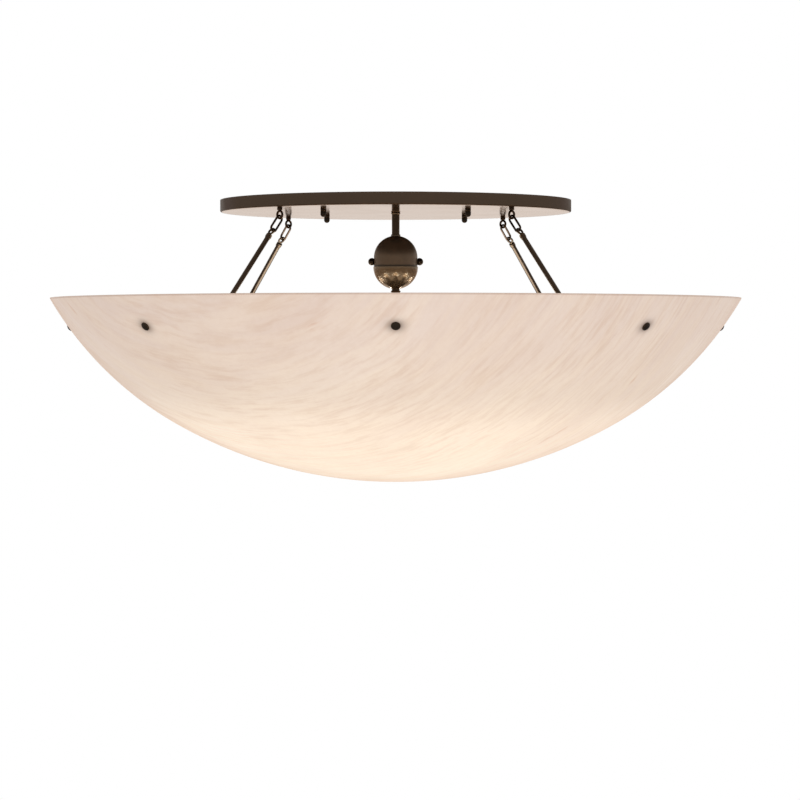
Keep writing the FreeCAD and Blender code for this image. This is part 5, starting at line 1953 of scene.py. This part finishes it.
@dataclass
class Bowl:
    """The bowl, its screws and washers, and the frame inside that carries it."""

    finishes: FinishShelf
    wall: float = 4.8 * MM
    rim_easing: float = 0.8 * MM
    rim_run: float = 2.4 * MM
    lower_arc: float = 585.0 * MM
    lower_angle: float = 29.9
    screw_count: int = 8
    screw_below_rim: float = 38.6 * MM
    screw_radius: float = 2.5 * MM
    head_radius: float = 5.7 * MM
    head_height: float = 3.8 * MM
    washer_radius: float = 11.0 * MM
    washer_thickness: float = 1.5 * MM
    nut_flats: float = 8.0 * MM
    nut_height: float = 4.0 * MM
    strap: float = 3.2 * MM
    wall_gap: float = 0.05 * MM
    seat_gap: float = 0.25 * MM
    tip_length: float = 1.0 * MM
    tip_chamfer: float = 0.4 * MM
    screw_thread: float = 0.34 * MM
    screw_pitch: float = 0.8 * MM
    head_rim_share: float = 0.35

    def __post_init__(self) -> None:
        """Works out the outline's two arcs from the node's box."""
        low, high = node_box("bowl")
        self.rim_radius, self.rim_height, self.bottom = float(high[0]), float(high[2]), float(low[2])
        angle = math.radians(self.lower_angle)
        meet = (self.lower_arc * math.sin(angle), self.bottom + self.lower_arc * (1 - math.cos(angle)))
        run, rise = self.rim_radius - meet[0], self.rim_height - meet[1]
        self.upper_arc = (run ** 2 + rise ** 2) / (2 * (rise * math.cos(angle) - run * math.sin(angle)))
        self.upper_centre = (
            meet[0] - self.upper_arc * math.sin(angle), meet[1] + self.upper_arc * math.cos(angle)
        )

    def build(self) -> None:
        """Makes and dresses every piece of the bowl."""
        self.shell()
        self.screws()
        self.washers()
        self.nuts()
        dress_node("bowl_frame", self.finishes.frame)

    def outline_at(self, inset: float, start: float, end: float, steps: int) -> Array:
        """The two arcs of the wall, inset along the normal, between two turns of the outline.

        The outline's direction turns from 0 degrees at the axis to the rim's angle; up to the lower
        angle a point lies on the lower arc, and past it on the upper one.

        Args:
            inset: distance inside the outer wall.
            start: the first direction in degrees.
            end: the last direction in degrees.
            steps: number of steps.

        Returns:
            The outline's points.
        """
        turn = np.radians(np.linspace(start, end, steps + 1))
        on_lower = turn < math.radians(self.lower_angle)
        reach = np.where(on_lower, self.lower_arc, self.upper_arc) - inset
        centre_r = np.where(on_lower, 0.0, self.upper_centre[0])
        centre_z = np.where(on_lower, self.bottom + self.lower_arc, self.upper_centre[1])
        return np.stack((centre_r + reach * np.sin(turn), centre_z - reach * np.cos(turn)), axis=-1)

    def turn_at(self, height: float, inset: float) -> float:
        """The outline's direction in degrees where the upper arc, inset, reaches a height."""
        return math.degrees(math.acos((self.upper_centre[1] - height) / (self.upper_arc - inset)))

    def shell(self) -> None:
        """The bowl: outer wall, a level rim with eased edges and the inner wall."""
        shoulder = self.rim_height - self.rim_run
        outer = self.outline_at(0.0, 0.0, self.turn_at(shoulder, 0.0), 90)
        inner = self.outline_at(self.wall, self.turn_at(shoulder, self.wall), 0.0, 70)
        ends = []
        for inset in (0.0, self.wall):
            turn = self.turn_at(self.rim_height, inset)
            ends.append((*self.outline_at(inset, turn, turn, 0)[0], self.rim_easing))
        rim = rounded([(*outer[-1], 0.0), *ends, (*inner[0], 0.0)], closed=False)
        outline = np.vstack((outer, rim[1:-1], inner))
        outline[0, 0] = outline[-1, 0] = 0.0
        screw_height = self.rim_height - self.screw_below_rim
        sheet = BowlSheet("bowl_sheet_finish", self.rim_height, self.bottom, screw_height).material()
        add_piece("alabaster_bowl", lathe(outline, 288), sheet, "bowl", sharp=80.0)

    def screw_places(self) -> list[Array]:
        """Matrices that lay a piece made about +Z, with the outer wall at Z = 0, on each screw's axis.

        Returns:
            One matrix for each screw.
        """
        height = self.rim_height - self.screw_below_rim
        drop = self.upper_centre[1] - height
        seat = self.upper_centre[0] + math.sqrt(self.upper_arc ** 2 - drop ** 2)
        below_level = math.degrees(math.asin(drop / self.upper_arc))
        azimuths = -90.0 + np.arange(self.screw_count) * 360.0 / self.screw_count
        local = move_to(seat, 0, height) @ turn_y(90 + below_level)
        return [turn_z(azimuth) @ local for azimuth in azimuths]

    def depths(self) -> tuple[float, float, float]:
        """Depths below the outer wall of the washer's, the tab's and the nut's outer faces.

        Returns:
            The three depths.
        """
        hollow = self.washer_radius ** 2 / (2 * (self.upper_arc - self.wall)) + self.wall_gap
        washer = self.wall + hollow
        tab = washer + self.washer_thickness
        return washer, tab, tab + self.strap

    def on_screws(self, name: str, single: Surface, material: Material, node: str) -> None:
        """One copy of a piece at each screw, as one piece."""
        copies = together(single.moved(place) for place in self.screw_places())
        add_piece(name, copies, material, node)

    def screws(self) -> None:
        """Dark domed screws with a flat-bottomed rim and a threaded shank."""
        stack = self.wall + self.washer_thickness + self.strap + self.nut_height
        tip, chamfer, seat = -stack - 3 * self.seat_gap - self.tip_length, self.tip_chamfer, self.wall_gap
        radius, head, height = self.screw_radius, self.head_radius, self.head_height
        rim = height * self.head_rim_share
        sphere, half = cap_sphere(head, height - rim)
        blank = np.array([(0.0, tip), (radius - chamfer, tip), (radius, tip + chamfer), (radius, seat)])
        shank = finer(blank, 0.13 * MM)
        brim = rounded([(radius, seat, 0.0), (head, seat, 0.25 * MM), (head, rim, 0.0)], closed=False)
        crown = arc((0.0, height - sphere), sphere, 90 - half, 90, 14)
        outline = np.vstack((shank, brim[1:], crown[1:]))
        outline[-1, 0] = 0.0
        thread = threaded(radius, self.screw_pitch, self.screw_thread, tip + chamfer, -self.wall)
        screw = lathe(outline, 40, thread)
        self.on_screws("dome_screws", screw, self.finishes.fastener, "bowl_screws")

    def washers(self) -> None:
        """Soft washers inside the wall."""
        top, tab, _ = self.depths()
        bore = self.screw_radius + BORE_PLAY
        corners = [(bore, -tab, 0.2 * MM), (self.washer_radius, -tab, 0.5 * MM),
                   (self.washer_radius, -top, 0.5 * MM), (bore, -top, 0.2 * MM)]
        single = lathe(finer(rounded(corners, closed=True, steps=4), 2 * MM, closed=True), 48)
        self.on_screws("soft_washers", single, self.finishes.rubber, "bowl_washers")

    def nuts(self) -> None:
        """Nuts on the inner ends of the screws."""
        _, _, face = self.depths()
        single = nut(self.nut_flats, self.screw_radius + BORE_PLAY, -face - self.nut_height, -face)
        self.on_screws("bowl_nut_set", single, self.finishes.zinc, "bowl_nuts")


# ---------------- the studio

@dataclass
class Studio:
    """Camera, lamps, white surroundings and a pale floor."""

    camera_distance: float = 3.790
    eye_below_pan: float = 0.1695
    lens: float = 128.25
    frame_pixels: float = 800.0
    axis_pixel: float = 395.7
    horizon_pixel: float = 340.0
    glint_radius: float = 31.5 * MM
    glint_power: float = 3.0
    glow_size: float = 0.50
    ball_glow_power: float = 0.5
    rod_glow_power: float = 12.5
    glow_colour: tuple[float, float, float] = (0.78, 0.92, 1.0)
    glow_height: float = -228.0 * MM
    floor_drop: float = 4.3
    floor_size: float = 7.5
    floor_thickness: float = 0.05
    diffuse_light: float = 0.72

    def build(self) -> None:
        """Sets up everything that isn't the light itself."""
        self.camera()
        self.surroundings()
        self.floor()
        self.lamp("key_lamp", (-0.15, -3.4, 0.0), (0.0, 0.0, -0.25), 2.0, 6.0)
        self.lamp("fill_lamp", (0.9, -3.0, -1.2), (0.0, 0.0, -0.25), 2.0, 14.0)
        self.lamp("low_lamp", (0.0, -1.6, -1.9), (0.0, 0.0, -0.3), 1.6, 14.0)
        bpy.context.scene.view_settings.view_transform = "Standard"

    def camera(self) -> None:
        """A level camera; the shift puts the horizon and the light's axis on their pixels."""
        data = bpy.data.cameras.new("photo_camera")
        data.lens, data.sensor_width, data.sensor_fit = self.lens, 36.0, "HORIZONTAL"
        data.shift_x = (self.frame_pixels / 2 - self.axis_pixel) / self.frame_pixels
        data.shift_y = -(self.frame_pixels / 2 - self.horizon_pixel) / self.frame_pixels
        data.clip_end = 50.0
        camera = add_object("photo_camera", data)
        eye = float(node_box("ceiling_pan")[0][2]) - self.eye_below_pan
        camera.location = (0.0, -self.camera_distance, eye)
        camera.rotation_euler = (math.radians(90), 0.0, 0.0)
        bpy.context.scene.camera = camera

    def surroundings(self) -> None:
        """White where it is seen, mirrored or looked through, and a little less where it lights."""
        world = bpy.data.worlds.new("studio")
        world.use_nodes = True
        world.node_tree.nodes.clear()
        bpy.context.scene.world = world
        tree = Tree(world.node_tree)
        rays = tree.add("LightPath").outputs
        seen = tree.calc("MAXIMUM", rays["Is Camera Ray"], rays["Is Glossy Ray"])
        seen = tree.calc("MAXIMUM", seen, rays["Is Transmission Ray"])
        strength = tree.spread(seen, 0.0, 1.0, self.diffuse_light, 1.0)
        background = tree.add("Background", {"Color": WHITE, "Strength": strength})
        tree.add("OutputWorld", {"Surface": background.outputs[0]})

    def floor(self) -> None:
        """A pale round floor far below, which fades to the surroundings where it is seen."""
        size, under = self.floor_size, -self.floor_thickness
        disc = np.array([(0.0, under), (size, under), (size, 0.0), (0.0, 0.0)])
        surface = lathe(disc, 96).moved(move_to(0, 0, -self.floor_drop))
        floor = add_object("floor", mesh_of("floor", surface, FloorPaint("floor_finish").material()))

    def mirrored(self) -> None:
        """Lamps that only show mirrored: the bulbs in the ball, and the lit bowl in ball and rods."""
        ball = ("ball_cup", "knob_left", "knob_right")
        rods = tuple(name + corner.label for name in ("hanging_rod_", "long_link_") for corner in Corner)
        for number, place in enumerate(LampCluster.glint_places(), start=1):
            data = bpy.data.lights.new(f"bulb_glint_{number}", "POINT")
            data.shadow_soft_size, data.energy = self.glint_radius, self.glint_power
            self.only_on(data, tuple(place), 0.0, ball)
        glows = (("ball", self.ball_glow_power, ball), ("rods", self.rod_glow_power, rods))
        for label, power, pieces in glows:
            data = bpy.data.lights.new("bowl_glow_" + label, "AREA")
            data.shape, data.size, data.energy = "DISK", self.glow_size, power
            self.only_on(data, (0.0, 0.0, self.glow_height), math.pi, pieces)

    def only_on(self, data: bpy.types.Light, place: tuple[float, ...], turn: float,
                pieces: Iterable[str]) -> None:
        """Stands a lamp that only a few pieces mirror.

        Args:
            data: the lamp.
            place: where it stands.
            turn: its turn about X, in radians.
            pieces: names of the pieces that mirror it.
        """
        data.color = self.glow_colour
        lamp = add_object(data.name, data)
        lamp.location, lamp.rotation_euler = place, (turn, 0.0, 0.0)
        lamp.visible_camera = lamp.visible_diffuse = lamp.visible_transmission = False
        seen_by = bpy.data.collections.new(data.name + "_pieces")
        for name in pieces:
            seen_by.objects.link(bpy.data.objects[name])
        lamp.light_linking.receiver_collection = seen_by

    def lamp(self, name: str, place: tuple[float, float, float], aim: tuple[float, float, float],
             size: float, power: float) -> None:
        """A square soft lamp that points at a place.

        Args:
            name: the lamp's name.
            place: where it stands.
            aim: what it points at.
            size: its side in metres.
            power: its power in watts.
        """
        data = bpy.data.lights.new(name, "AREA")
        data.size, data.energy = size, power
        lamp = add_object(name, data)
        direction = np.array(aim) - np.array(place)
        direction /= np.linalg.norm(direction)
        lamp.location = place
        heading = math.atan2(direction[0], -direction[1]) + math.pi
        lamp.rotation_euler = (math.acos(-direction[2]), 0.0, heading)
        lamp.visible_camera = lamp.visible_glossy = False


def main() -> None:
    """Builds the studio and the light."""
    logging.basicConfig(level=logging.INFO, format="%(message)s")
    studio = Studio()
    studio.build()
    finishes = FinishShelf()
    CeilingPan(finishes).build()
    StemAndBall(finishes).build()
    LampCluster(finishes).build()
    for corner in Corner:
        Hanger(finishes, corner).build()
    EyeFasteners(finishes).build()
    Bowl(finishes).build()
    studio.mirrored()


if __name__ == "__main__":
    main()
